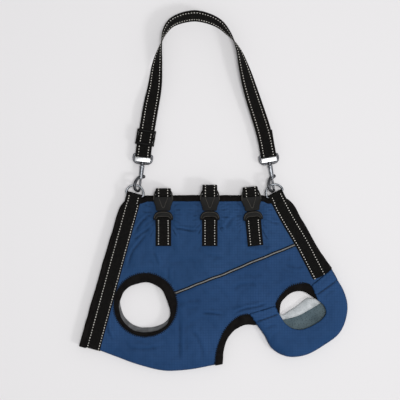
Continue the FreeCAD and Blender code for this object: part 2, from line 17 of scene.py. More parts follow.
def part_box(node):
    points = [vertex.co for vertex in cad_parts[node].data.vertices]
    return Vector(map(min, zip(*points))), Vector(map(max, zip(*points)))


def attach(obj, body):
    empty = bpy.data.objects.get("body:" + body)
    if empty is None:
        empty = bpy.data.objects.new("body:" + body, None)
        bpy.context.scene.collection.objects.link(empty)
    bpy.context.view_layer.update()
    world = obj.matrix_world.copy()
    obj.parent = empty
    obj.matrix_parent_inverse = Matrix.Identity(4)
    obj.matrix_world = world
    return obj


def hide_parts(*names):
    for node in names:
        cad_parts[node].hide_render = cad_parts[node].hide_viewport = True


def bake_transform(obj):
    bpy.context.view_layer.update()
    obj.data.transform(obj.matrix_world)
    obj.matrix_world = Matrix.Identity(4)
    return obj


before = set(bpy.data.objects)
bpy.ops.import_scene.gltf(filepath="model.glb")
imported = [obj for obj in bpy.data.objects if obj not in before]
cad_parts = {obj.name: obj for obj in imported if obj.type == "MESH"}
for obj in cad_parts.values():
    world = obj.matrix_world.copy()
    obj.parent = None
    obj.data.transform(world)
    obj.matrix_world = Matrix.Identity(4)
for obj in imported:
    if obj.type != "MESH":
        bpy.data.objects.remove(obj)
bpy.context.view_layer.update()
rng = random.Random(7)

MM = 0.001
FINE = 24  # steps of a smooth curve between two given points
LATHE_SIDES = 32
STITCH_LENGTH = 2.2
BODY_WRINKLES, BAND_WRINKLES = 0.42, 0.32  # shares of the settled cloth that the pads take
SEWN_SHARE = 0.35  # how far a pad runs into its binding
FRONT_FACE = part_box("front_shell_upper")[1].z / MM
FRONT_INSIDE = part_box("front_lining")[0].z / MM
BACK_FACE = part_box("back_shell")[0].z / MM
PAD_THICK = FRONT_FACE - FRONT_INSIDE
MIDDLE = (FRONT_FACE + BACK_FACE) / 2
WEBBING_WIDTH = 25.0
WEBBING_THICK = 1.4

# ---- camera, floor and light ----------------------------------------------------------------

VIEW_WIDTH = 644.0
VIEW_CENTRE = (-22.1, -13.7)
LENS = 85.0
SENSOR = 36.0


def sockets(node, **values):
    """Sets a node's inputs by name, with _ for each space in the name."""
    for name, value in values.items():
        node.inputs[name.replace("_", " ")].default_value = value
    return node


def linked(name, data):
    """A new object in the scene."""
    made = bpy.data.objects.new(name, data)
    bpy.context.scene.collection.objects.link(made)
    return made


def make_stage():
    scene = bpy.context.scene
    camera = linked("camera", bpy.data.cameras.new("camera"))
    camera.data.lens, camera.data.sensor_width = LENS, SENSOR
    camera.location = Vector((*VIEW_CENTRE, MIDDLE + VIEW_WIDTH * LENS / SENSOR)) * MM
    scene.camera = camera
    scene.view_settings.view_transform = "Standard"

    scene.world = bpy.data.worlds.new("studio")
    scene.world.use_nodes = True
    tree = scene.world.node_tree
    place, spread, ramp = (tree.nodes.new(f"ShaderNode{kind}")
                           for kind in ("TexCoord", "SeparateXYZ", "MapRange"))
    sockets(ramp, From_Min=-1.0, To_Min=0.22, To_Max=0.54)
    background = sockets(tree.nodes["Background"], Color=(1.0, 0.995, 1.0, 1))
    tree.links.new(place.outputs["Generated"], spread.inputs[0])
    tree.links.new(spread.outputs["X"], ramp.inputs["Value"])
    tree.links.new(ramp.outputs[0], background.inputs["Strength"])

    for name, spot, size, power in (
        ("overhead", (0.2, 0.0, 2.8), 0.9, 43.5),
        ("side", (3.8, -2.0, 3.4), 1.0, 56.0),
    ):
        lamp = linked(name, bpy.data.lights.new(name, "AREA"))
        lamp.data.size, lamp.data.energy, lamp.location = size, power, spot
        aim = Vector((0, -0.05, 0)) - Vector(spot)
        lamp.rotation_euler = aim.to_track_quat("-Z", "Y").to_euler()

    bpy.ops.mesh.primitive_plane_add(size=9)
    floor = bpy.context.object
    floor.name = "floor"
    paper = bpy.data.materials.new("floor_paper")
    paper.use_nodes = True
    sockets(paper.node_tree.nodes["Principled BSDF"], Base_Color=(0.80, 0.79, 0.80, 1),
            Roughness=0.9)
    floor.data.materials.append(paper)


make_stage()

# ---- materials ------------------------------------------------------------------------------


def linear(*levels):
    """An sRGB colour of 0 to 255 as linear light."""
    parts = [c / 255 for c in levels]
    return (*(c / 12.92 if c <= 0.04045 else ((c + 0.055) / 1.055) ** 2.4 for c in parts), 1.0)


def dimmed(colour, share):
    return (*(c * share for c in colour[:3]), 1.0)


class Look:
    """A principled material with its nodes, built up one layer at a time."""

    def __init__(self, name, roughness, **values):
        self.material = bpy.data.materials.new(name)
        self.material.use_nodes = True
        self.tree = self.material.node_tree
        self.shader = sockets(self.tree.nodes["Principled BSDF"], Roughness=roughness, **values)
        self.place = self.node("TexCoord")
        self.normal = None

    def node(self, kind, **values):
        return sockets(self.tree.nodes.new(f"ShaderNode{kind}"), **values)

    def link(self, output, socket):
        self.tree.links.new(output, socket)

    def texture(self, kind, coordinates, **values):
        node = self.node(f"Tex{kind}", **values)
        self.link(self.place.outputs[coordinates], node.inputs["Vector"])
        return node

    def noise(self, scale, detail, coordinates="Object"):
        return self.texture("Noise", coordinates, Scale=scale, Detail=detail).outputs["Fac"]

    def cells(self, width, height, line, offset=0.5, coordinates="Object"):
        """Rows of threads: 1 between them and 0 on them, at sizes in metres or UV units."""
        node = self.texture("Brick", coordinates, Scale=1.0, Brick_Width=width,
                            Row_Height=height, Mortar_Size=line, Mortar_Smooth=0.6)
        node.offset = offset
        return node.outputs["Fac"]

    def colour(self, factor, low, high, start=0.3, end=0.7):
        ramp = self.node("ValToRGB")
        first, last = ramp.color_ramp.elements
        first.position, first.color = start, low
        last.position, last.color = end, high
        self.link(factor, ramp.inputs["Fac"])
        return ramp.outputs["Color"]

    def mixed(self, factor, first, second, blend="MIX"):
        mix = self.node("Mix")
        mix.data_type, mix.blend_type = "RGBA", blend
        for socket, value in ((0, factor), (6, first), (7, second)):
            if isinstance(value, (float, tuple)):
                mix.inputs[socket].default_value = value
            else:
                self.link(value, mix.inputs[socket])
        return mix.outputs[2]

    def paint(self, colour):
        self.link(colour, self.shader.inputs["Base Color"])

    def rough(self, factor, low, high):
        span = self.node("MapRange", To_Min=low, To_Max=high)
        self.link(factor, span.inputs["Value"])
        self.link(span.outputs[0], self.shader.inputs["Roughness"])

    def bump(self, factor, distance, strength=1.0, invert=False):
        node = self.node("Bump", Distance=distance, Strength=strength)
        node.invert = invert
        self.link(factor, node.inputs["Height"])
        if self.normal is not None:
            self.link(self.normal, node.inputs["Normal"])
        self.normal = node.outputs["Normal"]
        self.link(self.normal, self.shader.inputs["Normal"])


def shell_look(name, dark, light):
    """Close-woven ripstop: a faint grid, soft creasing, an uneven dye, and painted shade in the
    creases with painted highlight on their ridges.
    """
    look = Look(name, 0.62, Specular_IOR_Level=0.06)
    dye = look.colour(look.noise(14, 5), dark, light)
    grid = look.cells(0.0042, 0.0042, 0.00032, 0.0)
    woven = look.mixed(grid, dye, dimmed(dark, 0.96))
    # Painted shade and highlight: a multiplier per point, darker in the hollows and lighter on the
    # ridges.
    fold = look.node("Attribute")
    fold.attribute_name = "crease_shade"
    look.paint(look.mixed(1.0, woven, fold.outputs["Fac"], "MULTIPLY"))
    look.bump(look.noise(75, 3), 0.0009, 0.6)
    look.bump(grid, 0.00005)
    look.bump(look.noise(1500, 2), 0.00006)
    return look.material


def tape_look(name, dark, light):
    """Black woven webbing, ribbed along and across; its UVs are millimetres."""
    look = Look(name, 0.85, Specular_IOR_Level=0.1)
    threads = look.cells(1.7, 0.85, 0.16, 0.5, "UV")
    tone = look.colour(look.noise(0.22, 4, "UV"), dark, light)
    look.paint(look.mixed(threads, tone, dimmed(dark, 0.5)))
    look.bump(threads, 0.00035, 1.0, invert=True)
    look.bump(look.noise(4.0, 2, "UV"), 0.00012)
    return look.material


def knit_look(name, dark, light):
    """Soft knitted binding tape with a slight nap."""
    look = Look(name, 0.92, Specular_IOR_Level=0.05)
    loops = look.cells(0.0016, 0.0011, 0.0002, 0.5)
    look.paint(look.colour(look.noise(110, 5), dark, light))
    look.bump(look.noise(260, 4), 0.0005, 0.7)
    look.bump(loops, 0.00018, 1.0, invert=True)
    return look.material


def mesh_lining_look(name, dark, light):
    """Open spacer mesh: small dark holes in a pale knit."""
    look = Look(name, 0.9, Specular_IOR_Level=0.1)
    holes = look.texture("Voronoi", "Object", Scale=380).outputs["Distance"]
    tone = look.colour(look.noise(35, 4), dark, light)
    shade = look.colour(holes, (0.45, 0.45, 0.45, 1), (1, 1, 1, 1), 0.1, 0.4)
    look.paint(look.mixed(1.0, tone, shade, "MULTIPLY"))
    look.bump(holes, 0.0006)
    return look.material


def moulded_look(name, dark, light, roughness):
    """Moulded nylon: a fine grain, a little polished by handling."""
    look = Look(name, roughness, Specular_IOR_Level=0.1)
    look.paint(look.colour(look.noise(120, 5), dark, light))
    look.rough(look.noise(60, 4), roughness - 0.1, roughness + 0.16)
    look.bump(look.noise(2600, 2), 0.00005)
    look.bump(look.noise(240, 3), 0.00008)
    return look.material


def metal_look(name, dark, light, roughness):
    """Nickel plate: cloudy, with fine handling scratches."""
    look = Look(name, roughness, Metallic=1.0)
    look.paint(look.colour(look.noise(160, 5), dark, light))
    look.rough(look.noise(420, 5), roughness - 0.08, roughness + 0.14)
    look.bump(look.noise(700, 3), 0.00004)
    return look.material


def thread_look(name, dark, light, shine=0.3):
    look = Look(name, 0.6, Specular_IOR_Level=shine)
    look.paint(look.colour(look.noise(500, 3), dark, light))
    look.bump(look.noise(2200, 2), 0.00006)
    return look.material


SHELL = shell_look("shell_upper", linear(32, 61, 98), linear(41, 71, 111))
SHELL_LOWER = shell_look("shell_lower", linear(31, 60, 98), linear(40, 70, 111))
SHELL_BAND = shell_look("shell_band", linear(32, 62, 101), linear(41, 72, 114))
LINING = mesh_lining_look("lining", linear(74, 89, 96), linear(98, 113, 119))
FACING = knit_look("pale_facing", linear(178, 184, 187), linear(212, 216, 219))
BINDING = knit_look("binding", linear(17, 15, 15), linear(27, 25, 24))
GREY_BINDING = knit_look("grey_binding", linear(84, 85, 87), linear(112, 113, 115))
WEBBING = tape_look("webbing", linear(15, 14, 14), linear(27, 26, 24))
THREAD = thread_look("reflective_thread", linear(196, 191, 183), linear(232, 229, 222))
# Black thread for the bindings' stitching, also used for painted shadow lines beside the piping.
DARK_THREAD_AND_SHADE = thread_look("dark_thread_and_painted_shade", linear(11, 11, 12), linear(20, 20, 22), 0.08)
# Dark blue hem thread, dark enough to paint the shadow line along each hem seam as well.
BLUE_THREAD_AND_SEAM_SHADE = thread_look("blue_thread_and_seam_shade", linear(16, 34, 56), linear(24, 46, 72))
PIPING = thread_look("piping", linear(100, 100, 100), linear(134, 133, 131))
PLASTIC = moulded_look("buckle_plastic", linear(9, 9, 8), linear(17, 16, 15), 0.5)
# A lighter copy of the buckle plastic: painted highlight on the raised marks and ribs.
HIGHLIGHT_RIDGES = moulded_look("buckle_ridges_painted_highlight", linear(46, 44, 41), linear(70, 67, 63), 0.45)
NICKEL = metal_look("nickel", linear(88, 91, 96), linear(150, 153, 158), 0.3)
# A brighter copy of the nickel for the eye bars: painted highlight.
HIGHLIGHT_NICKEL = metal_look("nickel_painted_highlight", linear(205, 207, 210), linear(232, 233, 235), 0.3)
# A darker copy of the nickel for jaws, eye frames, knobs, hubs and bolts: painted shade.
SHADED_NICKEL = metal_look("nickel_painted_shade", linear(66, 67, 70), linear(104, 105, 109), 0.34)

# ---- lines ----------------------------------------------------------------------------------


def unit(rows):
    """Each row as a direction of length 1."""
    return rows / np.linalg.norm(rows, axis=1)[:, None]


def gone_by(points):
    """How far along a line each of its points lies."""
    steps = np.linalg.norm(np.diff(points, axis=0), axis=1)
    return np.concatenate([[0], steps.cumsum()])


def smooth(points, step, closed=False):
    """Points about every step along a smooth curve through the given ones, of any dimension."""
    p = np.array(points, float)
    if closed:
        p = np.vstack([p[-2:], p, p[:3]])
    h = np.linalg.norm(np.diff(p, axis=0), axis=1)
    slope = np.diff(p, axis=0) / h[:, None]
    tangent = slope[[0, *range(len(slope))]]
    weight = (h[1:] / (h[1:] + h[:-1]))[:, None]
    tangent[1:-1] = slope[:-1] * weight + slope[1:] * (1 - weight)
    t = np.linspace(0, 1, FINE, endpoint=False)[:, None]
    fine = [(2 * t**3 - 3 * t**2 + 1) * p[i] + (t**3 - 2 * t**2 + t) * length * tangent[i]
            + (3 * t**2 - 2 * t**3) * p[i + 1] + (t**3 - t**2) * length * tangent[i + 1]
            for i, length in enumerate(h)]
    line = np.vstack(fine + [p[-1:]])
    if closed:
        line = line[2 * FINE: -2 * FINE]
    return even(line, step)


def even(points, step=None, count=None):
    """The same line with points at even distances along it."""
    p = np.array(points, float)
    gone = gone_by(p)
    if count is None:
        count = max(2, round(gone[-1] / step) + 1)
    at = np.linspace(0, gone[-1], count)
    return np.stack([np.interp(at, gone, column) for column in p.T], axis=1)


def pairs(*numbers):
    return list(zip(numbers[::2], numbers[1::2]))


def towards(first, second, share):
    """Points part of the way from one run to another of the same length."""
    return [tuple(a + (b - a) * share for a, b in zip(p, q)) for p, q in zip(first, second)]


def beside(points, distance):
    """A flat run moved sideways, to its left when the distance is positive."""
    p = np.array(points, float)
    way = unit(np.gradient(p, axis=0))
    return p + np.stack([-way[:, 1], way[:, 0]], axis=1) * distance


def nearest(points, line):
    """For each flat point: its distance to the line, how far along that is, and its side."""
    if len(points) > 3000:
        parts = [nearest(part, line) for part in np.array_split(points, len(points) // 2000)]
        return (*(np.concatenate(column) for column in list(zip(*parts))[:3]), parts[0][3])
    line = np.array(line, float)[:, :2]
    a, ab = line[:-1], np.diff(line, axis=0)
    p = points[:, None, :]
    t = np.clip(((p - a) * ab).sum(2) / np.maximum((ab**2).sum(1), 1e-12), 0, 1)
    gap = p - (a + t[..., None] * ab)
    far = np.hypot(gap[..., 0], gap[..., 1])
    i = far.argmin(1)
    row = np.arange(len(points))
    lengths = np.hypot(ab[:, 0], ab[:, 1])
    along = np.concatenate([[0], lengths.cumsum()])[i] + t[row, i] * lengths[i]
    side = np.sign(ab[i, 0] * gap[row, i, 1] - ab[i, 1] * gap[row, i, 0])
    return far[row, i], along, side, lengths.sum()


def step_up(value, low, high):
    """An S curve from 0 at low to 1 at high."""
    t = np.clip((value - low) / (high - low), 0, 1)
    return t * t * (3 - 2 * t)


def rounded(share):
    """A quarter circle from 0 to 1 as share goes from 0 to 1."""
    return np.sqrt(np.clip(1 - (1 - np.clip(share, 0, 1)) ** 2, 0, 1))


def raised(line, z):
    """A flat line at a height, or at a height for each point."""
    return np.column_stack([line, np.broadcast_to(z, len(line))])


def bridged(points):
    """A line across the middle, from its left half, which ends on X = 0."""
    return [*points, *((-x, *rest) for x, *rest in points[-2::-1])]


def turned(spot, degrees, height=0.0, roll=0.0):
    return (Matrix.Translation((*spot, height))
            @ Matrix.Rotation(math.radians(degrees), 4, "Z")
            @ Matrix.Rotation(math.radians(roll), 4, "Y"))


def down(degrees):
    """The directions down and across a strip of webbing that leans by some degrees."""
    turn = math.radians(degrees)
    across = np.array([math.cos(turn), math.sin(turn)])
    return np.array([across[1], -across[0]]), across


def moved(matrix, points):
    m = np.array(matrix)
    return np.array(points, float) @ m[:3, :3].T + m[:3, 3]


# ---- mesh building --------------------------------------------------------------------------


class Build:
    """Collects vertices in millimetres, faces, their materials and UVs, and makes one object."""

    def __init__(self):
        self.verts, self.faces, self.kinds, self.uvs = [], [], [], []

    def add(self, verts, faces, kind=0, uvs=None):
        start = len(self.verts)
        self.verts += [tuple(v) for v in verts]
        self.faces += [tuple(start + i for i in f) for f in faces]
        self.kinds += [kind] * len(faces)
        self.uvs += [(0, 0)] * len(verts) if uvs is None else uvs

    def make(self, name, *materials, sharp=None):
        mesh = bpy.data.meshes.new(name)
        mesh.from_pydata([(x * MM, y * MM, z * MM) for x, y, z in self.verts], [], self.faces)
        mesh.polygons.foreach_set("material_index", self.kinds)
        layer = mesh.uv_layers.new(name="weave")
        corners = np.empty(len(mesh.loops), np.int32)
        mesh.loops.foreach_get("vertex_index", corners)
        layer.data.foreach_set("uv", np.array(self.uvs, np.float32)[corners].ravel())
        mesh.validate()
        clad(mesh, materials, sharp)
        return linked(name, mesh)


def clad(mesh, materials, sharp=None):
    """Gives a mesh its materials and smooth shading, with sharp edges above an angle."""
    mesh.polygons.foreach_set("use_smooth", [True] * len(mesh.polygons))
    if sharp is not None:
        mesh.set_sharp_from_angle(angle=math.radians(sharp))
    if len(mesh.materials):
        mesh.materials.clear()
    for material in materials:
        mesh.materials.append(material)


def applied(obj):
    """Bakes an object's modifiers into its mesh."""
    depsgraph = bpy.context.evaluated_depsgraph_get()
    mesh = bpy.data.meshes.new_from_object(obj.evaluated_get(depsgraph))
    obj.modifiers.clear()
    old, obj.data = obj.data, mesh
    bpy.data.meshes.remove(old)


def rings(build, sections, kind=0, uvs=None, closed=False):
    """Skins a row of sections with the same number of points each, capped if it isn't closed."""
    count, rows = len(sections[0]), len(sections)
    faces = []
    for i in range(rows if closed else rows - 1):
        low, high = i * count, (i + 1) % rows * count
        for k in range(count):
            m = (k + 1) % count
            faces.append((low + k, low + m, high + m, high + k))
    if not closed:
        faces.append(tuple(range(count))[::-1])
        faces.append(tuple((rows - 1) * count + k for k in range(count)))
    build.add(np.vstack(sections), faces, kind, uvs)


class Path:
    """A line in space with the direction across it at every point, read by distance along."""

    def __init__(self, points, across=None):
        self.points = np.array(points, float)
        self.along = unit(np.gradient(self.points, axis=0))
        if across is None:
            across = np.cross(self.along, (0, 0, 1))
        self.across = unit(np.broadcast_to(np.array(across, float), self.points.shape))
        self.up = np.cross(self.across, self.along)
        self.gone = gone_by(self.points)
        self.length = self.gone[-1]

    def at(self, distance):
        return [np.array([np.interp(distance, self.gone, column) for column in rows.T])
                for rows in (self.points, self.across, self.along, self.up)]


def tape(build, path, width=WEBBING_WIDTH):
    """A flat woven strip with rounded selvedges."""
    w, t = width / 2, WEBBING_THICK / 2
    half = [(-w, 0), (-w + 0.12, 0.62 * t), (-w + 0.6, t), (-w * 0.55, 0.94 * t), (0, t),
            (w * 0.55, 0.94 * t), (w - 0.6, t), (w - 0.12, 0.62 * t)]
    section = half + [(-x, -z) for x, z in half]
    sections = [[point + across * x + up * z for x, z in section]
                for point, across, up in zip(path.points, path.across, path.up)]
    rings(build, sections, 0, [(gone, x) for gone in path.gone for x, _ in section])


STITCH_SHAPE = ((-0.5, 0.35, -0.6), (-0.3, 0.95, -0.1), (0.0, 1.0, 0.0), (0.3, 0.95, -0.1),
                (0.5, 0.35, -0.6))


def dash(build, centre, along, across, up, length, radius, kind):
    """One stitch: a short rounded thread that dips at both ends."""
    turns = [2 * math.pi * k / 6 for k in range(6)]
    rings(build, [[centre + along * (share * length)
                   + across * (math.cos(turn) * radius * swell)
                   + up * ((math.sin(turn) * swell + drop) * radius * 0.8) for turn in turns]
                  for share, swell, drop in STITCH_SHAPE], kind)


def stitches(build, path, offset=0.0, lift=0.0, start=1.5, end=1.5, pitch=4.3, radius=0.74,
             kind=1):
    """A row of stitches beside a path, on its upper side when lift is positive."""
    for i in range(int((path.length - start - end) / pitch) + 1):
        point, across, along, up = path.at(start + (i + 0.5) * pitch + rng.uniform(-0.15, 0.15))
        facing = up if lift >= 0 else -up
        sway = rng.uniform(-0.12, 0.12)
        dash(build, point + across * (offset + sway) + up * lift, along, across, facing,
             STITCH_LENGTH * rng.uniform(0.85, 1.08), radius * rng.uniform(0.88, 1.08), kind)


def tube(build, points, radii, kind=0, sides=14, closed=False, flat=1.0):
    """A round bar along points, with a radius at each and rounded ends."""
    p = np.array(points, float)
    radii = np.broadcast_to(np.array(radii, float), (len(p),))
    way = unit(np.roll(p, -1, 0) - np.roll(p, 1, 0) if closed else np.gradient(p, axis=0))
    side = np.cross(way[0], (0, 0, 1) if abs(way[0][2]) < 0.9 else (1, 0, 0))
    side /= np.linalg.norm(side)
    frames = []
    for direction in way:
        side = side - direction * (side @ direction)
        side /= np.linalg.norm(side)
        frames.append((side.copy(), np.cross(side, direction)))

    def ring(i, lean=0, out=1):
        a, b = frames[i]
        radius = radii[i] * math.cos(math.radians(lean))
        centre = p[i] + way[i] * (out * radii[i] * math.sin(math.radians(lean)))
        return [centre + a * math.cos(t) * radius + b * math.sin(t) * radius * flat
                for t in np.linspace(0, 2 * math.pi, sides, endpoint=False)]

    sections = [ring(i) for i in range(len(p))]
    if not closed:
        sections = ([ring(0, lean, -1) for lean in (80, 55, 28)] + sections
                    + [ring(-1, lean) for lean in (28, 55, 80)])
    rings(build, sections, kind, closed=closed)


def slab(outline, low, high, bevel, segments=3):
    """A plate with rounded edges, as a mesh in its own frame, in millimetres."""
    bm = bmesh.new()
    face = bm.faces.new([bm.verts.new((x, y, low)) for x, y in outline])
    if face.normal.z > 0:
        face.normal_flip()
    grown = bmesh.ops.extrude_face_region(bm, geom=[face])
    tops = [v for v in grown["geom"] if isinstance(v, bmesh.types.BMVert)]
    bmesh.ops.translate(bm, verts=tops, vec=(0, 0, high - low))
    bmesh.ops.recalc_face_normals(bm, faces=bm.faces)
    if bevel:
        bmesh.ops.bevel(bm, geom=bm.edges[:] + bm.verts[:], offset=bevel, segments=segments,
                        profile=0.5, affect="EDGES", clamp_overlap=True)
    return bm


def block(low, high, bottom, top, bevel=0):
    """A slab between two corners."""
    return slab([low, (high[0], low[1]), high, (low[0], high[1])], bottom, top, bevel)


def lathed(profile):
    """A solid turned about local Y, from pairs of height and radius."""
    bm = bmesh.new()
    rows = [[bm.verts.new((math.cos(t) * radius, y, -math.sin(t) * radius))
             for t in np.linspace(0, 2 * math.pi, LATHE_SIDES, endpoint=False)]
            for y, radius in profile]
    for low, high in zip(rows, rows[1:]):
        for k in range(LATHE_SIDES):
            m = (k + 1) % LATHE_SIDES
            bm.faces.new((low[k], low[m], high[m], high[k]))
    bm.faces.new(rows[0][::-1])
    bm.faces.new(rows[-1])
    bmesh.ops.recalc_face_normals(bm, faces=bm.faces)
    return bm


def solid(name, blank, cutters, matrix, material):
    """Cuts the cutters out of a blank, and places the result."""
    def as_object(bm, label):
        mesh = bpy.data.meshes.new(label)
        bm.to_mesh(mesh)
        bm.free()
        return linked(label, mesh)

    base = as_object(blank, name)
    tools = [as_object(bm, "tool") for bm in cutters]
    for tool in tools:
        modifier = base.modifiers.new("cut", "BOOLEAN")
        modifier.operation, modifier.solver, modifier.object = "DIFFERENCE", "EXACT", tool
    applied(base)
    for tool in tools:
        mesh = tool.data
        bpy.data.objects.remove(tool)
        bpy.data.meshes.remove(mesh)
    base.data.transform(matrix)
    base.data.transform(Matrix.Scale(MM, 4))
    clad(base.data, [material], 35)
    return base


def dressed(piece, rides, slot, *stands_for):
    """Says which body a piece rides on and which CAD nodes it replaces; its finish, slot, is not
    used.
    """
    if rides:
        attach(piece, rides)
    if stands_for:
        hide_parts(*stands_for)


# ---- outlines of the sling, in the CAD frame ------------------------------------------------

NECK = pairs(-139.5, -11, -147, -20, -163, -63.5, -178, -113.5, -193, -165, -205.5, -209, -216,
    -242)
FOLD = pairs(-211.5, -247.8, -187, -254.7, -163, -263.5, -120, -279, -78, -288.5, -43, -287, 2.5,
    -279)
NOTCH = pairs(56.5, -196, 40.6, -200, 28.2, -209, 16, -225, 8.5, -242, 3.5, -262, 2.5, -279)
NOTCH_RIM = pairs(69, -214.5, 50.4, -214.5, 38, -220, 28.2, -228.6, 20.8, -239.7, 15.9, -257, 14.5,
    -277)
REAR_LEG_TOP = pairs(98.7, -183, 103.6, -172, 113, -160, 125, -151, 139.3, -147.2, 156, -150.5)
REAR_LEG_RIM = pairs(105.5, -197, 108, -180, 117, -168.5, 128, -161.5, 141, -160, 166, -174)
REAR = pairs(113.5, -11.5, 122.5, -17.5, 142, -47.5, 174.8, -104, 189, -124, 191, -127)
REAR_INNER = pairs(107, -18.5, 113.5, -22.5, 133.5, -52.5, 166, -109, 181, -130, 183, -133)
TOP_EDGE = pairs(-141, -13, -117, -11, -109, -9.2, 80, -9, 88, -12.4, 113, -9.5)
TOP_INNER = pairs(-139.5, -22, -116, -19.5, -107, -16.2, 79, -16, 86, -20, 110, -20)
BAND_OUTER = pairs(199.5, -142.5, 208, -157, 215.5, -185, 213.6, -202, 203, -227, 178, -247, 145,
    -264, 119, -265.8, 94.3, -253.4, 80.2, -230, 69, -214.5)
BAND_INNER = pairs(166, -174, 177, -184, 180, -194, 173.5, -205, 162.8, -212.5, 151, -218.5, 139.3,
    -221.5, 127.3, -220, 116, -213, 105.5, -197)
BACK_BAND_INNER = pairs(152, -172.5, 147, -175.5, 141.5, -180, 134, -186, 126, -191, 119, -195.5,
    112, -200, 105.5, -197)
FACING_LINE = pairs(181, -172.5, 169, -182, 154, -190.8, 138.6, -199.2, 113.5, -206.4, 100, -209)
PIPING_LINE = pairs(-62, -162.8, -39.6, -154, 3.5, -137.5, 28, -127.7, 60, -114.3, 99, -98, 125,
    -88, 136, -84)
LEG_HOLE, HOLE_CUT_RADIUS = (-110.8, -186.3), 47.5
LEG_BINDING, LEG_BINDING_RADIUS = (-109.8, -181.7), 51.0
LEG_EDGE = pairs(-109, -146, -121.9, -148.1, -135.6, -153, -143.6, -160.5, -148, -170, -152.5,
    -183.5, -151, -194, -146, -206.9, -139.6, -214.9, -129.9, -222.2, -118.7, -225.9, -109, -226.2,
    -97.7, -224.9, -84.8, -220.6, -75.2, -212.5, -70.7, -202.1, -70, -190.8, -73.6, -179.5, -77.6,
    -168.2, -83.2, -157.8, -92.9, -150.5, -101, -147)
NECK_INNER = [(-132, -16), (-137.7, -24), *map(tuple, beside(NECK, 10)[2:])]
NECK_FREE = NECK[:-1] + [(-216.4, -248.2)]
NECK_HELD = NECK_INNER[:-1] + [(-205.4, -251.2)]

# The corner webbings: the middle of each D-ring bar, the slant in degrees and the length.
CORNERS = (("neck", (-127.3, -5.4), -15.3, 249.0), ("rear", (98.7, -4.2), 27.4, 146.0))
BUCKLES = [(1, (-80.8, -31.4), 0.0), (2, (-6.4, -31.4), 0.0), (3, (61.6, -31.4), 5.5)]


def ring_of(centre, radius, step):
    count = round(2 * math.pi * radius / step)
    turns = 2 * math.pi * np.arange(count) / count
    return np.array(centre) + radius * np.stack([np.cos(turns), np.sin(turns)], axis=1)


# ---- the padded body ------------------------------------------------------------------------


def inside(points, loops):
    """Which flat points lie inside the loops, holes left out."""
    hits = np.zeros(len(points), int)
    for loop in loops:
        a, b = loop, np.roll(loop, -1, 0)
        x, y = points[:, 0][:, None], points[:, 1][:, None]
        crosses = (a[:, 1] > y) != (b[:, 1] > y)
        rise = np.where(b[:, 1] == a[:, 1], 1.0, b[:, 1] - a[:, 1])
        hits += (crosses & (x < (b[:, 0] - a[:, 0]) * (y - a[:, 1]) / rise + a[:, 0])).sum(1)
    return hits % 2 == 1


def filled(loops, extra):
    """Points and triangles that fill the loops, through the extra points as well."""
    edges, start = [], 0
    for loop in loops:
        count = len(loop)
        edges += [(start + i, start + (i + 1) % count) for i in range(count)]
        start += count
    extra = extra[inside(extra, loops)]
    border = np.vstack([*loops, extra])
    low, high = border.min(0), border.max(0)
    rows = []
    tall = SPACING * math.sqrt(3) / 2
    for j in range(int((high[1] - low[1]) / tall) + 1):
        x = np.arange(low[0] + (j % 2) * SPACING / 2, high[0], SPACING)
        rows.append(np.stack([x, np.full_like(x, low[1] + j * tall)], axis=1))
    grid = np.vstack(rows)
    grid = grid[inside(grid, loops)]
    gap = np.concatenate([np.linalg.norm(part[:, None] - border[None], axis=2).min(1)
                          for part in np.array_split(grid, 20)])
    everything = [Vector(p) for p in np.vstack([*loops, extra, grid[gap > SPACING * 0.62]])]
    made = delaunay_2d_cdt(everything, edges, [], 0, 1e-5, False)
    xy = np.array([tuple(v) for v in made[0]])
    triangles = np.array([f for f in made[2] if len(f) == 3])
    triangles = triangles[inside(xy[triangles].mean(1), loops)]
    a, b, c = (xy[triangles[:, i]] for i in range(3))
    turning = (b[:, 0] - a[:, 0]) * (c[:, 1] - a[:, 1]) - (b[:, 1] - a[:, 1]) * (c[:, 0] - a[:, 0])
    triangles[turning < 0] = triangles[turning < 0][:, ::-1]
    return xy, triangles


FOLD_REACH = 7.3
SPACING = 2.2
# How strongly the painted shade and highlight follow the hollows and ridges.
HOLLOW_SHADE_GAIN = 0.85


def fold_rows(fold, inward):
    """Rows of points close along a fold, where the surface turns quickly."""
    return np.vstack([beside(fold, FOLD_REACH * (1 - math.cos(math.radians(lean))) * inward)
                      for lean in (18, 36, 54, 72, 90)])


def painted_hollow_shade(height, triangles):
    """Each point's painted shade: darker where it lies below its neighbours, a painted highlight on
    a ridge.
    """
    edges = np.vstack([triangles[:, [0, 1]], triangles[:, [1, 2]], triangles[:, [2, 0]]])
    both = np.concatenate([edges, edges[:, ::-1]])
    count = np.bincount(both[:, 0], minlength=len(height))

    def around(values):
        return np.bincount(both[:, 0], values[both[:, 1]], len(height)) / np.maximum(count, 1)

    sunk = around(height) - height
    sunk = np.clip((sunk + around(sunk)) * HOLLOW_SHADE_GAIN, -1, 1)
    return 1 - np.where(sunk > 0, 0.62, 0.1) * sunk


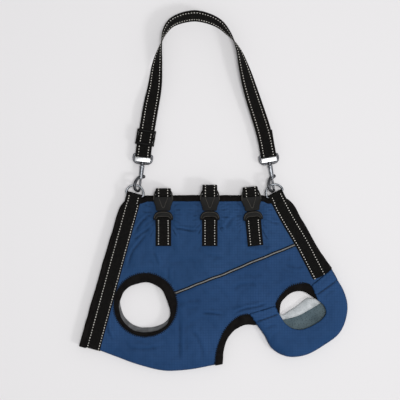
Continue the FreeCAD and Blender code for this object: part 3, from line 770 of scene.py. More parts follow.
def folded_pad(name, loops, fold, inward, rim_rows, front_height, back_height, materials,
               seam=None, back_shift=None):
    """A quilted layer folded over on itself: an outer skin made thick towards its inside."""
    xy, triangles = filled(loops, np.vstack([fold_rows(fold, inward)] + rim_rows))
    fold_gap = nearest(xy, fold)[0]
    on_fold = fold_gap < 0.02
    swell = rounded(fold_gap / FOLD_REACH)
    swell[on_fold] = 0
    rim_gap = np.full(len(xy), 1e9)
    for loop in loops:
        line = np.vstack([loop, loop[:1]])
        is_fold = nearest((line[:-1] + line[1:]) / 2, fold)[0] < 0.05
        for a, b in zip(line[:-1][~is_fold], line[1:][~is_fold]):
            rim_gap = np.minimum(rim_gap, nearest(xy, np.array([a, b]))[0])
    fullness = rounded(rim_gap / 2.2)
    tuck = PAD_THICK / 2 * (1 - fullness)
    front = MIDDLE + (front_height(xy, triangles) - MIDDLE) * swell - tuck * swell
    back = MIDDLE - (MIDDLE - back_height(xy)) * swell + tuck * swell
    back_xy = xy if back_shift is None else xy + back_shift(xy)
    other = np.where(on_fold, np.arange(len(xy)), len(xy) - 1 + np.cumsum(~on_fold))
    build = Build()
    build.add(np.vstack([np.column_stack([xy, front]), np.column_stack([back_xy, back])[~on_fold]]),
              np.vstack([triangles, other[triangles[:, ::-1]]]))
    if seam is not None:
        build.kinds = [*(nearest(xy[triangles].mean(1), seam)[2] < 0).astype(int)] * 2
    pad = build.make(name, *materials)
    # Painted shade in the front skin's hollows and painted highlight on its ridges; the back half
    # gets none.
    shade = pad.data.attributes.new("crease_shade", "FLOAT", "POINT")
    shade.data.foreach_set("value", np.concatenate([painted_hollow_shade(front, triangles),
                                                    np.ones((~on_fold).sum())]))
    group = pad.vertex_groups.new(name="fullness")
    for i, weight in enumerate(np.concatenate([fullness, fullness[~on_fold]])):
        group.add([i], max(0.04, float(weight)), "REPLACE")
    thicken = pad.modifiers.new("thicken", "SOLIDIFY")
    thicken.thickness = PAD_THICK * MM
    thicken.offset = -1.0
    thicken.vertex_group = "fullness"
    thicken.thickness_vertex_group = 0.0
    thicken.material_offset = 2
    thicken.material_offset_rim = 0
    applied(pad)
    pad.vertex_groups.clear()
    pad.data.polygons.foreach_set("use_smooth", [True] * len(pad.data.polygons))
    return pad


def strip_gap(points, spot, degrees, low, high):
    """How far flat points lie outside a strip of webbing, from low to high along it."""
    way, side = down(degrees)
    rel = points - np.array(spot)
    along = -(rel @ way)
    return np.maximum(np.abs(rel @ side) - WEBBING_WIDTH / 2,
                      np.maximum(low - along, along - high))


def tab_gap(points):
    """How far flat points lie outside the nearest buckle tab."""
    return np.min([strip_gap(points, spot, lean, -56, 24) for _, spot, lean in BUCKLES], axis=0)


# Creases of the front shell: half width, height and points; each has a ridge beside a valley.
CREASES = (
    (3.4, 0.9, -21, -193.5, -3, -194.5, 16, -196.6),
    (3.6, 1.2, 28, -200, 34, -193.5, 46.7, -188, 71, -183, 90, -176),
    (5.0, 0.8, -52.6, -200, -52, -240, -52.6, -274),
    (2.6, 1.3, -67, -58.2, -52.5, -59, -38, -61.6, -20, -60.4),
    (3.0, 0.8, 7.7, -57, 18.5, -56),
    (5.0, -0.9, 35.4, -35.4, 24, -48, 15.4, -61.6),
    (3.0, 0.8, 77, -43, 92, -48, 109, -51),
    (3.4, -1.1, -101, -34.9, -113, -44, -130, -67),
    (3.4, -1.0, -96.6, -53.6, -116.6, -66.9, -132.5, -78.9),
    (3.6, -1.1, -105.8, -61.5, -115.3, -74.9, -132.5, -97.4, -138, -115, -139.3, -128),
    (4.0, 0.6, -95.2, -95, -84.5, -121.6),
    (4.5, 0.6, -71.2, -118, -70.4, -146),
    (7.0, 0.7, -30, -84, -10, -100, 24, -104),
    (7.0, -0.7, 40, -74, 66, -92, 104, -88),
    (6.0, 0.7, -40, -215, -20, -240, -14, -272),
    (5.0, 0.7, -140, -247, -112, -251, -80, -246),
    (4.0, 0.7, -164, -190, -170, -214, -160, -240),
    (6.5, 0.7, 20, -160, 44, -148, 80, -146),
    (5.0, -0.7, 110, -118, 128, -124, 150, -122),
    (6.0, -0.6, -66, -190, -40, -180, -12, -178),
)


def buckle_gathers():
    """Short puckers that fan out from where each tab pulls on the cloth."""
    found = []
    draw = random.Random(31)
    for _, (x, y), lean in BUCKLES:
        for side in (-1, 1):
            for angle in (44, 26, 8, -8, -24, -42, -62):
                turn = math.radians(angle + draw.uniform(-6, 6) + lean)
                x0, y0 = x + side * 14.5, y - 4 + angle * 0.36
                reach = draw.uniform(11, 25)
                tall = draw.choice((-1, 1)) * draw.uniform(0.4, 0.8)
                found.append((1.7, tall, x0, y0, x0 + side * math.cos(turn) * reach,
                              y0 + math.sin(turn) * reach))
    return found


def creased(xy, creases):
    height = np.zeros(len(xy))
    for width, tall, *numbers in creases:
        points = np.array(numbers, float).reshape(-1, 2)
        line = smooth(points, 3.0) if len(points) > 2 else points
        gap, along, side, total = nearest(xy, line)
        fade = step_up(along, -0.1, total * 0.3) * (1 - step_up(along, total * 0.7, total + 0.1))
        offset = gap * side / width
        height += tall * fade * (np.exp(-((offset - 0.55) ** 2) * 2.2)
                                 - 0.8 * np.exp(-((offset + 0.55) ** 2) * 2.6))
    return height


def valley(gap, width):
    """How deep a sewn line pulls the cloth in, from 0 to 1."""
    return np.exp(-((gap / width) ** 2))


def rumpled(xy, scale, seed):
    """Smooth uneven heights between about -1 and 1."""
    return np.array([noise.fractal(Vector((x / scale, y / scale, seed)), 1.0, 2.0, 3)
                     for x, y in xy])


FOLD_LINE = smooth(FOLD, 3.0)
PIPING_PATH = smooth(PIPING_LINE, 2.5)


def body_loops():
    """The pad's cut edge runs a little way into each binding."""
    edges = ((NECK_INNER, NECK), (NOTCH, NOTCH_RIM), (REAR_LEG_TOP, REAR_LEG_RIM),
             (REAR_INNER, REAR))
    neck, notch, leg_top, rear = (smooth(towards(held, free, SEWN_SHARE), 3.0)
                                  for held, free in edges)
    notch[-1] = FOLD_LINE[-1]
    top = even(towards(TOP_INNER, TOP_EDGE, SEWN_SHARE), 3.0)
    around = np.vstack([neck, FOLD_LINE, notch[::-1][1:], leg_top, rear[::-1], top[::-1]])
    keep = [0]
    for i in range(1, len(around)):
        if np.linalg.norm(around[i] - around[keep[-1]]) > 0.8:
            keep.append(i)
    hole = ring_of(towards([LEG_BINDING], [LEG_HOLE], SEWN_SHARE)[0], HOLE_CUT_RADIUS, 3.0)
    return [around[keep], hole[::-1]]


BODY_LOOPS = body_loops()


def edge_gap(xy, loop):
    return nearest(xy, np.vstack([loop, loop[:1]]))[0]


def hold(xy):
    """1 where the cloth is free to puff up, 0 where something is sewn down on it."""
    free = 1.0
    for _, bar, slant, length in CORNERS:
        free = free * step_up(strip_gap(xy, bar, slant, -length, 0), -1, 13)
    free = free * step_up(tab_gap(xy), -1, 9)
    return free * step_up(nearest(xy, PIPING_PATH)[0], 0.5, 9)


def settled(xy, triangles, free, seed):
    """Cloth cut a little too large for its seams, left to buckle: the height it takes up."""
    scale, frames = 0.01, 16
    mesh = bpy.data.meshes.new("loose_cloth")
    flat = np.column_stack([xy * scale, 0.002 * rumpled(xy, 9, seed)])
    mesh.from_pydata(flat.tolist(), [], triangles.tolist())
    cloth = linked("loose_cloth", mesh)
    pins = cloth.vertex_groups.new(name="pins")
    for i, loose in enumerate(free):
        pins.add([i], float(1 - 0.86 * loose), "REPLACE")
    modifier = cloth.modifiers.new("cloth", "CLOTH")
    settings = modifier.settings
    settings.quality = 4
    settings.mass = 0.2
    settings.tension_stiffness = settings.compression_stiffness = 20
    settings.shear_stiffness = 10
    settings.bending_stiffness = 25
    settings.shrink_min = settings.shrink_max = -0.014
    settings.vertex_group_mass = "pins"
    settings.effector_weights.gravity = 0
    modifier.collision_settings.use_collision = False
    modifier.point_cache.frame_end = frames
    scene = bpy.context.scene
    for step in range(1, frames + 1):
        scene.frame_set(step)
    depsgraph = bpy.context.evaluated_depsgraph_get()
    found = np.empty(len(xy) * 3, np.float32)
    cloth.evaluated_get(depsgraph).data.vertices.foreach_get("co", found)
    bpy.data.objects.remove(cloth)
    bpy.data.meshes.remove(mesh)
    scene.frame_set(1)
    return np.clip(found.reshape(-1, 3)[:, 2] / scale, -1.6, 3.0)


def body_front(xy, triangles):
    edge = np.minimum(*(edge_gap(xy, loop) for loop in BODY_LOOPS))
    free = hold(xy) * step_up(edge, 3, 17)
    puff = 1.5 + 0.7 * rumpled(xy, 60, 3.1)
    ripples = 1.5 * creased(xy, (*CREASES, *buckle_gathers())) + 0.5 * rumpled(xy, 15, 8.2)
    groove = -0.9 * valley(nearest(xy, PIPING_PATH)[0], 3.2)
    near_tab = step_up(tab_gap(xy), -3, 3)
    ripples *= step_up(edge, 1.5, 9) * near_tab
    for _, bar, slant, length in CORNERS:
        ripples *= step_up(strip_gap(xy, bar, slant, -length, 0), -3, 4)
    loose = hold(xy) * step_up(edge, 2, 10)
    wrinkles = BODY_WRINKLES * settled(xy, triangles, loose, 4.4)
    return FRONT_FACE + puff * free + ripples + groove + wrinkles


def body_back(xy):
    """The back half rests on the floor, so it only pulls up a little where it is quilted."""
    lift = 0.5 * rumpled(xy, 40, 5.5) + 0.9 * valley(nearest(xy, PIPING_PATH)[0], 4)
    sag = 1.0 * step_up(edge_gap(xy, BODY_LOOPS[0]), 4, 22)
    return np.maximum(BACK_FACE - sag + lift, 0.15)


seam = np.vstack([[(-230, -200)], PIPING_PATH, [(230, -45)]])
body = folded_pad("padded_body", BODY_LOOPS, FOLD_LINE, 1, [], body_front, body_back,
                  (SHELL, SHELL_LOWER, LINING), seam)


dressed(body, "sling", "shell_fabric", "back_shell", "back_padding", "back_lining",
        "front_lining", "front_padding", "front_shell_upper", "front_shell_lower", "belly_fold")

# ---- the rear leg band ----------------------------------------------------------------------

BAND_FOLD = smooth(BAND_OUTER, 3.0)
BAND_EDGE = smooth(BAND_INNER, 3.0)
BACK_EDGE = np.vstack([[(166, -174)], smooth(BACK_BAND_INNER, 3.0)])
HEM_SEAMS = [[(68.9, -209.1), (93.1, -200.3), (101, -197.5)], [(167, -164.5), (197.1, -143)]]


HEM_EDGES = [[(56.5, -196), (98.7, -183)], [(156, -150.5), (189, -124)]]
HEM_WIDTHS = (15.4, 18.6)


def band_loop():
    low_end, high_end = [(56.5, -196), (98.7, -183), (105.5, -197)], [(166, -174), (156, -150.5)]
    first = even([(189, -124), BAND_FOLD[0]], 3.0)
    low = even([BAND_FOLD[-1], *low_end], 3.0)
    high = even([*high_end, (189, -124)], 3.0)
    return np.vstack([first[:-1], BAND_FOLD, low[1:-1], BAND_EDGE[::-1], high[1:-1]])


BAND_LOOP = band_loop()
BAND_CREASES = (
    (4.0, 0.7, 77, -222, 92, -214, 103, -212), (5.0, 0.5, 84, -240, 98, -226, 110, -220),
    (4.5, 0.6, 196, -160, 184, -166, 178, -178), (6.0, 0.4, 150, -247, 146, -232, 145, -224),
)


def band_front(xy, triangles=None):
    edge = edge_gap(xy, BAND_LOOP)
    height = FRONT_FACE + 0.9 + 1.9 * step_up(edge, 0, 15) + 0.35 * rumpled(xy, 30, 14.4)
    for seam, hem, width in zip(HEM_SEAMS, HEM_EDGES, HEM_WIDTHS):
        gap, into = (nearest(xy, np.array(line))[0] for line in (seam, hem))
        height += 1.1 * (1 - step_up(into, width - 3, width)) - 1.5 * valley(gap, 1.5)
    height = height + creased(xy, BAND_CREASES)
    if triangles is None:
        return height
    seams = np.minimum(*(nearest(xy, np.array(seam))[0] for seam in HEM_SEAMS))
    loose = step_up(edge, 3, 10) * step_up(seams, 1, 8)
    return height + BAND_WRINKLES * settled(xy, triangles, loose, 6.1)


def band_back(xy):
    return np.full(len(xy), 0.35)


def band_back_shift(xy):
    """The back half's free edge lies further in than the front half's."""
    share = step_up(nearest(xy, BAND_FOLD)[0], 6, 50)
    hem = np.minimum(*(nearest(xy, np.array(edge))[0] for edge in HEM_EDGES))
    share *= step_up(hem, 4, 18)
    _, along, _, total = nearest(xy, BAND_EDGE)
    share *= step_up(along, -6, 38)
    steps = np.linspace(0, 1, 60)
    reach = even(BACK_EDGE, count=60) - even(BAND_EDGE, count=60)
    move = np.stack([np.interp(along / total, steps, reach[:, i]) for i in (0, 1)], axis=1)
    return share[:, None] * move


rim = [beside(BAND_EDGE, gap) for gap in (0.2, 0.7, 1.4, 2.2)]
rim += [even(seam, 2.0) for seam in HEM_SEAMS]
band = folded_pad("padded_leg_band", [BAND_LOOP], BAND_FOLD, -1, rim, band_front, band_back,
                  (SHELL_BAND, SHELL_BAND, LINING), back_shift=band_back_shift)
dressed(band, "sling", "shell_fabric", "rear_band_front", "rear_band_back", "rear_band_fold")


def band_facing():
    """A paler strip inside the back half, along its free edge."""
    build = Build()
    edge = even(beside(BACK_EDGE, -1.0), count=50)
    inner = even(smooth(FACING_LINE, 2.0), count=50)
    low = BACK_FACE + PAD_THICK
    section = ((0.0, -1.6), (0.06, 0.3), (0.35, 0.75), (0.7, 0.6), (1.0, 0.35), (1.0, -0.2),
               (0.0, -2.4))
    rings(build, [[(*(near + (far - near) * share), low + rise) for share, rise in section]
                  for near, far in zip(edge, inner)])
    dressed(build.make("leg_band_facing", FACING), "sling", "shell_fabric")


band_facing()


def hem_stitching():
    # Stitching along the hem seams; its dark colour also paints the seam's shadow line.
    build = Build()
    for seam in HEM_SEAMS:
        line = even(seam, 2.0)
        path = Path(np.column_stack([line, band_front(line) + 0.35]))
        stitches(build, path, lift=0.01, pitch=2.6, radius=0.5, kind=0)
    dressed(build.make("leg_band_hem_stitching", BLUE_THREAD_AND_SEAM_SHADE), "sling", "shell_fabric")


hem_stitching()

# ---- bindings -------------------------------------------------------------------------------

BINDING_HALF = PAD_THICK / 2 + 0.5
FRONT_LEVEL = (FRONT_FACE + FRONT_INSIDE) / 2
BACK_LEVEL = MIDDLE * 2 - FRONT_LEVEL


def bound_edge(build, free, held, level, closed=False, straight=False, seed=0.0,
               half=BINDING_HALF):
    """A tape folded over a cut edge: free is its folded edge and held the edge on the padding."""
    paired = np.hstack([free, held])
    run = even(paired, 2.0) if straight else smooth(paired, 2.0, closed)
    if closed:
        run = run[:-1]
    sections = []
    for i, row in enumerate(run):
        edge, hold_edge = row[:2], row[2:]
        width = np.linalg.norm(hold_edge - edge)
        inward = (hold_edge - edge) / width
        wave = noise.noise(Vector((*edge / 9, seed)))
        tall = half * (1 + 0.045 * math.sin(i * 1.55 + 2 * wave) + 0.06 * wave)
        edge = edge - inward * 0.7 * noise.noise(Vector((*edge / 16, seed + 5)))
        round_by = min(2.6, 0.42 * width)
        top = [(width, tall - 1.1), (width - 0.3, tall - 0.3), (width - 0.9, tall),
               (width - 2.0, tall - 0.3), (width * 0.5 + round_by * 0.5, tall + 0.08),
               (round_by, tall)]
        nose = [(round_by * (1 - math.cos(math.radians(a))), tall * math.sin(math.radians(a)))
                for a in (62, 32, 0, -32, -62)]
        section = top + nose + [(x, -z) for x, z in top[::-1]]
        sections.append([(*(edge + inward * x), level + z) for x, z in section])
    rings(build, sections, closed=closed)
    middle = run[:, 2:] + 2.0 * unit(run[:, :2] - run[:, 2:])
    return np.vstack([middle, middle[:1]]) if closed else middle


def sew(build, line, level):
    """Black stitching close to the binding's edge, on the side that faces out."""
    out = 1 if level > MIDDLE else -1
    path = Path(raised(line, level + out * (BINDING_HALF - 0.1)))
    stitches(build, path, lift=0.05 * out, pitch=3.1, radius=0.36)


def overcast(build, free, held):
    """Zigzag thread that reaches from a binding over its edge onto the shell."""
    up = np.array((0.0, 0.0, 1.0))
    for row in smooth(np.hstack([free, held]), 4.1)[1:-1]:
        inward = row[2:] - row[:2]
        inward = np.array([*inward / np.linalg.norm(inward), 0.0])
        sway = np.cross(up, inward) * rng.uniform(-0.25, 0.25)
        centre = np.array([*row[2:], FRONT_FACE + 0.4]) + inward * rng.uniform(0.0, 0.6)
        dash(build, centre, inward + sway, np.cross(inward, up), up, 3.6, 0.85, 1)


def make_bindings():
    leg_free = np.array(LEG_EDGE)
    leg_held = LEG_BINDING + LEG_BINDING_RADIUS * unit(leg_free - LEG_BINDING)
    runs = {
        "neck": [(NECK_FREE, NECK_HELD)],
        "top": [(TOP_EDGE, TOP_INNER), (REAR, REAR_INNER)],
        "front_leg": [(leg_free, leg_held)],
        "rear_leg": [(REAR_LEG_RIM, REAR_LEG_TOP)],
        "belly_notch": [(NOTCH_RIM, NOTCH)],
    }
    back_shifts = {"top": (0.0, 3.2), "front_leg": (1.5, 6.5)}
    for seed, (kind, edges) in enumerate(runs.items()):
        closed = kind == "front_leg"
        for half, level in (("front", FRONT_LEVEL), ("back", BACK_LEVEL)):
            build = Build()
            shift = np.array(back_shifts.get(kind, (0, 0)) if half == "back" else (0, 0))
            for free, held in edges:
                straight = free is TOP_EDGE
                free, held = free + shift, np.array(held) + (0 if closed else shift)
                line = bound_edge(build, free, held, level, closed, straight, seed * 3.7 + level)
                sew(build, line, level)
                if half == "front" and not straight:
                    close = [*range(len(free)), 0] if closed else slice(None)
                    overcast(build, free[close], held[close])
            if kind == "neck" and half == "front":
                bound_edge(build, [(-214.9, -239), NECK_FREE[-1]],
                           [(-205.2, -241.8), NECK_HELD[-1]], MIDDLE, straight=True,
                           half=FRONT_FACE - MIDDLE + 0.3)
            look = GREY_BINDING if closed and half == "back" else BINDING
            dressed(build.make(f"sewn_{kind}_binding_{half}", look, DARK_THREAD_AND_SHADE), "sling",
                    "binding_tape", f"{kind}_binding_{half}")


make_bindings()

# ---- piping ---------------------------------------------------------------------------------


def make_piping():
    build = Build()
    line = PIPING_PATH
    wave = np.array([noise.noise(Vector((x / 24, y / 24, 9.0))) for x, y in line])
    way = beside(line, 1.0) - line
    top = raised(line + way * 1.6 * wave[:, None], FRONT_FACE + 0.15 + 0.5 * wave)
    tube(build, top, 1.05, sides=12, flat=0.8)
    # Thin dark cords either side of the piping: painted shadow lines, in the dark thread material.
    for side in (-1.7, 1.7):
        tube(build, top + raised(way * side, 0.1), 0.9, kind=1, sides=8, flat=0.6)
    tube(build, raised(line, BACK_FACE + 0.1), 1.2, sides=10, flat=0.8)
    dressed(build.make("corded_seam_piping", PIPING, DARK_THREAD_AND_SHADE), "sling",
            "reflective_piping", "seam_piping")


make_piping()

# ---- webbing on the sling -------------------------------------------------------------------

TAPE_TOP = WEBBING_THICK / 2 + 0.02


FOLD_ALONG = 256.1


def round_fold(bar, way):
    """The neck webbing's way round the belly fold, from the front face to the back one."""
    turns = np.radians(np.arange(72, -91, -9))
    along = FOLD_ALONG - FOLD_REACH + (FOLD_REACH + 0.75) * np.cos(turns)
    return raised(np.array(bar) + along[:, None] * way,
                  MIDDLE + (FRONT_FACE - MIDDLE + 0.72) * np.sin(turns))


def corner_webbing():
    for corner, bar, slant, length in CORNERS:
        neck = corner == "neck"
        end = FOLD_ALONG - FOLD_REACH if neck else length + 12
        way, side = down(slant)
        along = np.linspace(12.4, end - 0.5, int((end - 12.9) / 3))
        bow = (0.0 if neck else 3.0) * step_up(along, 30, 100)
        line = np.array(bar) + along[:, None] * way + bow[:, None] * side
        ripple = np.array([noise.noise(Vector((x / 20, y / 20, 2))) for x, y in line])
        front = raised(line, FRONT_FACE + 0.75 + 0.18 * ripple)
        if neck:
            front = np.vstack([front, round_fold(bar, way)])
        else:
            front[:, 2] -= 2.4 * step_up(np.linspace(12.4, end, len(line)), end - 12, end - 3)
        back = raised(line, BACK_FACE - 0.69)
        for half, path, lift in (("front", Path(front, (*-side, 0)), TAPE_TOP),
                                 ("back", Path(back), 0.52 - TAPE_TOP)):
            build = Build()
            tape(build, path)
            for offset in (8.0, -9.9) if neck else (9.0, -7.4):
                stitches(build, path, offset, lift)
            dressed(build.make(f"{corner}_strap_{half}", WEBBING, THREAD), "sling", "webbing",
                    f"{corner}_webbing_{half}")


corner_webbing()

RING_FRONT_BAR_Z = 15.5
RING_BACK_BAR_Z = 6.0


def strip(build, matrix, profile, step, offset, start, share, less=0.0, width=WEBBING_WIDTH):
    """A tape along pairs of Y and Z; its stitches stop at a share of its length from the end."""
    points = smooth([(0, y, z) for y, z in profile], step)
    path = Path(moved(matrix, points), matrix.to_3x3() @ Vector((1, 0, 0)))
    tape(build, path, width)
    for side in (-offset, offset):
        stitches(build, path, side, TAPE_TOP, start, path.length * share - less)


def ring_loops():
    """The webbing ends turned round the D-rings' bars."""
    front = pairs(-15, 15.35, -9, 15.4, -4, 16.5, -0.6, 17.7, 1.9, 16.6, 2.1, 14.6, 0, 13.35,
                  -4, 13.6, -8, 14.1)
    back = pairs(-15, 0.72, -9, 0.8, -4, 2.2, -0.6, 3.75, 1.9, 4.9, 2.1, 6.9, 0, 8.15, -4, 7.3,
                 -8, 6.6)
    for corner, bar, slant, _ in CORNERS:
        build = Build()
        matrix = turned(bar, slant)
        for profile in (front, back):
            strip(build, matrix, profile, 0.9, 7.5, 1.0, 0.62)
        made = build.make(f"{corner}_ring_webbing", WEBBING, THREAD)
        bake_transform(made)
        dressed(made, None, "webbing", f"{corner}_ring_loops")


ring_loops()

# ---- D-rings --------------------------------------------------------------------------------


def d_rings():
    half = pairs(0, 0, 7, 0, 12.4, 0.05, 13.75, 1.3, 13.9, 4, 11.4, 10, 6.6, 14.4, 0, 16)
    for corner, bar, slant, _ in CORNERS:
        build = Build()
        for bar_z, apex_z in ((RING_FRONT_BAR_Z, 14.7), (RING_BACK_BAR_Z, 11.9)):
            rise = (apex_z - bar_z) / 16
            shape = [(x, y, bar_z + y * rise) for x, y in bridged(half)[:-1]]
            points = smooth(shape, 1.0, closed=True)[:-1]
            tube(build, moved(turned(bar, slant), points), 1.5, closed=True)
        dressed(build.make(f"{corner}_steel_rings", NICKEL), "strap", "nickel",
                f"{corner}_d_rings")


d_rings()

# ---- snap hooks -----------------------------------------------------------------------------

HOOK_Z = 8.3
HOOK_ROLL = 52.0
HOOKS = [("left", (-118.6, 10.5), -6.0), ("right", (95.8, 10.5), 9.4)]


COIL_LOW, COIL_TOP = 20.3, 29.5


def snap_hook(side, spot, lean):
    matrix = turned(spot, lean, HOOK_Z, HOOK_ROLL)
    shank = pairs(9.6, 2.2, 10.0, 2.9, 11.2, 3.3, 12.6, 3.0, 15, 3.1, 18.6, 3.45, 26, 3.7,
                  28.6, 3.75, 29.3, 4.0, 31.2, 4.0, 31.8, 3.6, 32, 2.6, 32.1, 2.15, 36.0, 2.15,
                  36.1, 3.1, 36.5, 3.4, 37.5, 3.3, 38.1, 2.4)
    bore = lathed([(8, 1.7), (20, 1.7)])
    room = lathed([(18.4, 2.95), (29.6, 2.95)])
    slot = block((0, 11.8), (8, 24.2), -1.8, 1.8)
    made = solid(f"{side}_hook_shank", lathed(shank), [bore, room, slot], matrix, NICKEL)
    dressed(made, f"{side}_hook", "nickel", f"{side}_hook_body")

    build = Build()
    jaw = pairs(-2.6, 13, -5.2, 11.6, -8.8, 8.4, -11.8, 4, -13, -1, -11.6, -6, -7.4, -9.6,
                -3.2, -10.1, -0.6, -8.6, 0, -7.2)
    jaw = smooth(raised(jaw, 0), 0.8)
    share = np.linspace(0, 1, len(jaw))
    radii = 2.15 + 0.5 * np.sin(math.pi * np.clip(share * 1.25, 0, 1)) - 0.3 * share
    tube(build, moved(matrix, jaw), radii)
    # The jaw takes the darker copy of the nickel, painted shade.
    dressed(build.make(f"{side}_hook_jaw", SHADED_NICKEL), f"{side}_hook", "nickel")

    build = Build()
    turns = np.linspace(0, 6 * 2 * math.pi, 110)
    coil = np.stack([2.4 * np.cos(turns), np.linspace(COIL_LOW, COIL_TOP, 110),
                     2.4 * np.sin(turns)], axis=1)
    tube(build, moved(matrix, coil), 0.35, sides=6)
    made = build.make(f"{side}_hook_coil", NICKEL)
    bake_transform(made)
    dressed(made, None, "nickel", f"{side}_hook_spring")

    build = Build()
    stalk = [(reach, 14, 0) for reach in (4.9, 5.9, 6.7, 7.2)]
    tube(build, moved(matrix, stalk), (2.2, 2.9, 3.1, 2.4), sides=18)
    # The knob takes the darker copy of the nickel, painted shade.
    dressed(build.make(f"{side}_thumb_knob", SHADED_NICKEL), f"{side}_bolt", "nickel")


def eye_frame(side, spot, lean):
    """The flat cast loop that holds the strap, with a broad lower bar over the swivel."""
    matrix = turned(spot, lean, HOOK_Z)
    build = Build()
    half = pairs(0, 34.9, 6, 35, 10.6, 35.9, 13.6, 38.6, 14.6, 42, 14.6, 46, 14.0, 48.2,
                 11.6, 48.4, 0, 48.4)
    loop = smooth(raised(bridged(half)[:-1], 0), 1.2, closed=True)[:-1]
    tube(build, moved(matrix, loop), 1.8, closed=True)
    # The frame and the hub below take the darker copy of the nickel, painted shade.
    dressed(build.make(f"{side}_eye_frame", SHADED_NICKEL), "strap", "nickel", f"{side}_hook_eye")
    # The bar takes the brighter copy of the nickel, a painted highlight.
    bar = pairs(-12.4, 38.4, -11.4, 37.4, 11.4, 37.4, 12.4, 38.4, 12.6, 43.6, 11.8, 44.2,
                -11.8, 44.2, -12.6, 43.6)
    dressed(solid(f"{side}_eye_bar", slab(bar, -1.5, 1.5, 1.0), [], matrix, HIGHLIGHT_NICKEL),
            "strap", "nickel")
    boss = pairs(32.5, 2.4, 32.7, 3.6, 33.3, 4.2, 35.4, 4.2, 35.9, 3.6, 36.0, 2.4)
    dressed(solid(f"{side}_eye_hub", lathed(boss), [lathed([(32, 2.2), (37, 2.2)])], matrix,
                  SHADED_NICKEL), "strap", "nickel")


for hook_side, hook_spot, hook_lean in HOOKS:
    snap_hook(hook_side, hook_spot, hook_lean)
    eye_frame(hook_side, hook_spot, hook_lean)
    # The bolt takes the darker copy of the nickel, painted shade.
    clad(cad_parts[f"{hook_side}_hook_bolt"].data, [SHADED_NICKEL], 35)

# ---- hand strap -----------------------------------------------------------------------------
# Stations: X, Y, Z of the strap's middle and its twist about its own line in degrees.

STRAP = [
    (-109.3, 86.6, 12.0, 0), (-101.5, 133.3, 12.0, 0), (-94.7, 169.0, 12.6, 24),
    (-90.8, 205.3, 12.9, 48), (-84.0, 240.0, 13.1, 85), (-78.5, 257.0, 13.0, 102),
    (-67.5, 271.0, 12.9, 114), (-50.0, 278.8, 12.8, 121), (-30.3, 281.8, 12.8, 123),
    (-9.5, 277.8, 12.8, 120), (9.0, 269.0, 12.9, 113), (23.0, 255.0, 13.1, 100),
    (32.0, 243.0, 13.1, 85), (40.5, 226.0, 13.0, 68), (47.5, 203.0, 12.9, 48),
    (57.6, 167.3, 12.8, 24), (75.8, 110.3, 12.4, 4),
]


def hand_strap():
    """One strap: round each hook's eye, doubled back, and up over the arch between them."""
    wrap = pairs(52.5, 3.25, 48.3, 2.85, 45.9, 1.55, 45.45, 0, 45.9, -1.55, 48.3, -2.85)

    def end(hook, run, sign):
        matrix = turned(hook[1], hook[2], HOOK_Z)
        across = sign * np.array(matrix.to_3x3() @ Vector((1, 0, 0)))
        return [(*moved(matrix, (0, y, z)), *across * 25) for y, z in run]

    rows = end(HOOKS[0], pairs(77.3, -0.4, 64, -1.2, 53.5, -2.4) + wrap[::-1], 1)
    fine = smooth(STRAP, 4.0)
    way = unit(np.gradient(fine[:, :2], axis=0))
    for (x, y, z, twist), (dx, dy) in zip(fine, way):
        lean = math.radians(twist)
        rows.append((x, y, z, 25 * dy * math.cos(lean), -25 * dx * math.cos(lean),
                     25 * math.sin(lean)))
    rows += end(HOOKS[1], wrap + pairs(53.5, -1.4, 62, 0.6, 74, 1.2, 88.3, 1.85), -1)
    fine = smooth(rows, 2.2)
    path = Path(fine[:, :3], fine[:, 3:])
    build = Build()
    tape(build, path)
    for offset in (-7.7, 7.7):
        for lift in (TAPE_TOP, -TAPE_TOP):
            stitches(build, path, offset, lift)
    dressed(build.make("carrying_strap", WEBBING, THREAD), "strap", "webbing", "hand_strap",
            "strap_return_tail", "strap_sewn_end")


hand_strap()


def slider():
    matrix = turned((-109.3, 86.6), -9.5)
    rail = pairs(-12.5, 10.0, -11, 9.2, 11, 9.2, 12.5, 10.0, 12.5, 14.8, 11, 15.6, -11, 15.6,
                 -12.5, 14.8)
    build = Build()
    for x in (-14, 14):
        rings(build, [moved(matrix, [(x + shift, y * (0.96 + 0.04 * swell),
                                      12.4 + (z - 12.4) * (0.7 + 0.3 * swell)) for y, z in rail])
                      for swell, shift in pairs(0.55, -1.05, 0.9, -0.75, 1.0, 0.0, 0.9, 0.75,
                                                0.55, 1.05)])
    for y, z in ((-10.5, 14.2), (0, 9.9), (10.5, 14.2)):
        bar = np.linspace((-13.6, y, z), (13.6, y, z), 9)
        tube(build, moved(matrix, bar), 1.9, sides=16, flat=0.62)
    dressed(build.make("ladder_slider", PLASTIC, sharp=50), "slider", "buckle_plastic",
            "strap_slider")


slider()

# ---- side-release buckles -------------------------------------------------------------------

BUCKLE_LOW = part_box("buckle_1_socket")[0].z / MM
BUCKLE_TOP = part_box("buckle_1_socket")[1].z / MM
BUCKLE_MIDDLE = (BUCKLE_LOW + BUCKLE_TOP) / 2


def mirrored(points):
    return points + [(-x, y) for x, y in points[::-1]]


def bead(build, matrix, points, step, radius):
    """A thin raised line on a buckle's upper face."""
    line = smooth(points, step) + np.array([0, 0, BUCKLE_TOP])
    tube(build, moved(matrix, line), radius, sides=10)


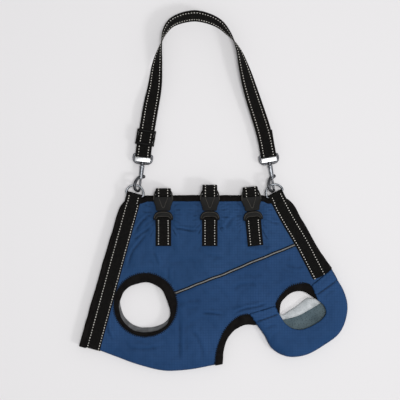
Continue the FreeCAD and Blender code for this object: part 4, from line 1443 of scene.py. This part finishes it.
def socket(number, matrix):
    edge = mirrored(pairs(11.5, 0.5, 11.5, 3.5, 12.2, 8, 14.6, 13.4, 16.0, 18, 15.8, 24,
                          13.8, 30.6, 11.4, 34.6))
    outline = even(edge + edge[:1], 1.3)[:-1]
    for _ in range(3):
        outline = (np.roll(outline, 1, 0) + 2 * outline + np.roll(outline, -1, 0)) / 4
    shell = slab(outline, BUCKLE_LOW, BUCKLE_TOP, 1.5, 4)
    room = (BUCKLE_MIDDLE - 2.2, BUCKLE_MIDDLE + 2.2)
    cutters = [block((-10.4, -1), (10.4, 18.5), *room), block((-20, 7.6), (20, 16.4), *room),
               block((-12.7, 22.6), (12.7, 27.8), BUCKLE_LOW - 2, BUCKLE_TOP + 2),
               slab([(-6.6, 21.2), (0, 5.6), (6.6, 21.2)], BUCKLE_TOP - 0.7, BUCKLE_TOP + 1, 0)]
    dressed(solid(f"buckle_{number}_housing", shell, cutters, matrix, PLASTIC),
            f"socket_{number}", "buckle_plastic", f"buckle_{number}_socket")
    build = Build()
    vee = bridged([(-7.3, 21.4, 0), (-3.8, 12.6, 0), (-0.9, 5.6, 0), (0, 4.8, 0)])
    bead(build, matrix, vee, 1.0, 0.55)
    for side in (-1, 1):
        rib = [(side * 13.6, 29, -0.6), (side * 15.0, 23, -0.4), (side * 15.1, 18.4, -0.4)]
        bead(build, matrix, rib, 1.2, 0.7)
    # The V mark and side ribs take the lighter plastic, a painted highlight.
    dressed(build.make(f"buckle_{number}_housing_ridges", HIGHLIGHT_RIDGES), f"socket_{number}",
            "buckle_plastic")


def plug(number, matrix):
    edge = mirrored(pairs(7.6, -0.1, 11.4, -2.0, 14.2, -5.6, 15.7, -10.2, 15.4, -14.2,
                          13.4, -14.4))
    collar = slab(edge, BUCKLE_LOW, BUCKLE_TOP, 1.3, 4)
    throat = slab(bridged(pairs(-12.8, -17, -12.8, -11.4, -9.5, -9.2, 0, -8.0)),
                  BUCKLE_LOW - 2, BUCKLE_TOP + 2, 0)
    dressed(solid(f"buckle_{number}_collar", collar, [throat], matrix, PLASTIC), "sling",
            "buckle_plastic", f"buckle_{number}_plug")
    tongue = block((-2.8, -1.5), (2.8, 15), BUCKLE_MIDDLE - 1.2, BUCKLE_MIDDLE + 1.2, 0.5)
    dressed(solid(f"buckle_{number}_tongue", tongue, [], matrix, PLASTIC), "sling",
            "buckle_plastic")
    build = Build()
    bar = np.linspace((-13.6, -12, BUCKLE_LOW + 1.8), (13.6, -12, BUCKLE_LOW + 1.8), 7)
    tube(build, moved(matrix, bar), 1.6)
    arch = [(-14.3, -10.6, -0.1), (-12.2, -5.8, 0.1), (-7, -2.4, 0.15), (0, -1.6, 0.15)]
    bead(build, matrix, bridged(arch), 1.2, 0.6)
    lip = [(-11.6, -12.2, -0.2), (-9.5, -9.6, 0), (0, -8.5, 0)]
    bead(build, matrix, bridged(lip), 1.2, 0.5)
    # The bar, arch and lip take the lighter plastic, a painted highlight.
    dressed(build.make(f"buckle_{number}_ribs", HIGHLIGHT_RIDGES), "sling", "buckle_plastic")


LOOP_RISES = {1: -2.4, 2: 3.0, 3: 0.0}


def buckle_webbing(number, matrix):
    face = FRONT_FACE + WEBBING_THICK / 2 + 0.05
    tab = pairs(-56, face, -40, face, -24, face + 0.1, -18.5, face + 2.6, -14.6, 20.4,
                -11.6, 20.9, -9.6, 19.6, -9.5, 17.4, -12, 15.9, -16, 15.8)
    build = Build()
    strip(build, matrix, tab, 1.6, 7.7, 1.2, 1, 42)
    dressed(build.make(f"buckle_{number}_sewn_tab", WEBBING, THREAD), "sling", "webbing",
            f"buckle_{number}_tab")

    top = BUCKLE_TOP + WEBBING_THICK / 2 + 0.05
    rise = LOOP_RISES[number]
    loop = pairs(25.2, 18.4, 24.0, 21.6, 24.4, 24.6, 26.6, top, 31 + rise * 0.5, top,
                 35.2 + rise, top - 0.4, 37.4 + rise, top - 3.6, 38.1 + rise, 18,
                 38.2 + rise, 11, 36.5 + rise * 0.7, 5.4, 31.5, 1.9, 24, 0.8, 10, 0.74,
                 -25, 0.74)
    build = Build()
    strip(build, matrix, loop, 1.6, 7.2, 4.5, 1, 30, 23.5)
    made = build.make(f"buckle_{number}_sewn_loop", WEBBING, THREAD)
    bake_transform(made)
    dressed(made, None, "webbing", f"buckle_{number}_loop")


for buckle_number, buckle_spot, buckle_lean in BUCKLES:
    place = turned(buckle_spot, buckle_lean)
    socket(buckle_number, place)
    plug(buckle_number, place)
    buckle_webbing(buckle_number, place)
    for side in ("left", "right"):
        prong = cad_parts[f"buckle_{buckle_number}_prong_{side}"]
        prong.data.materials.clear()
        prong.data.materials.append(PLASTIC)
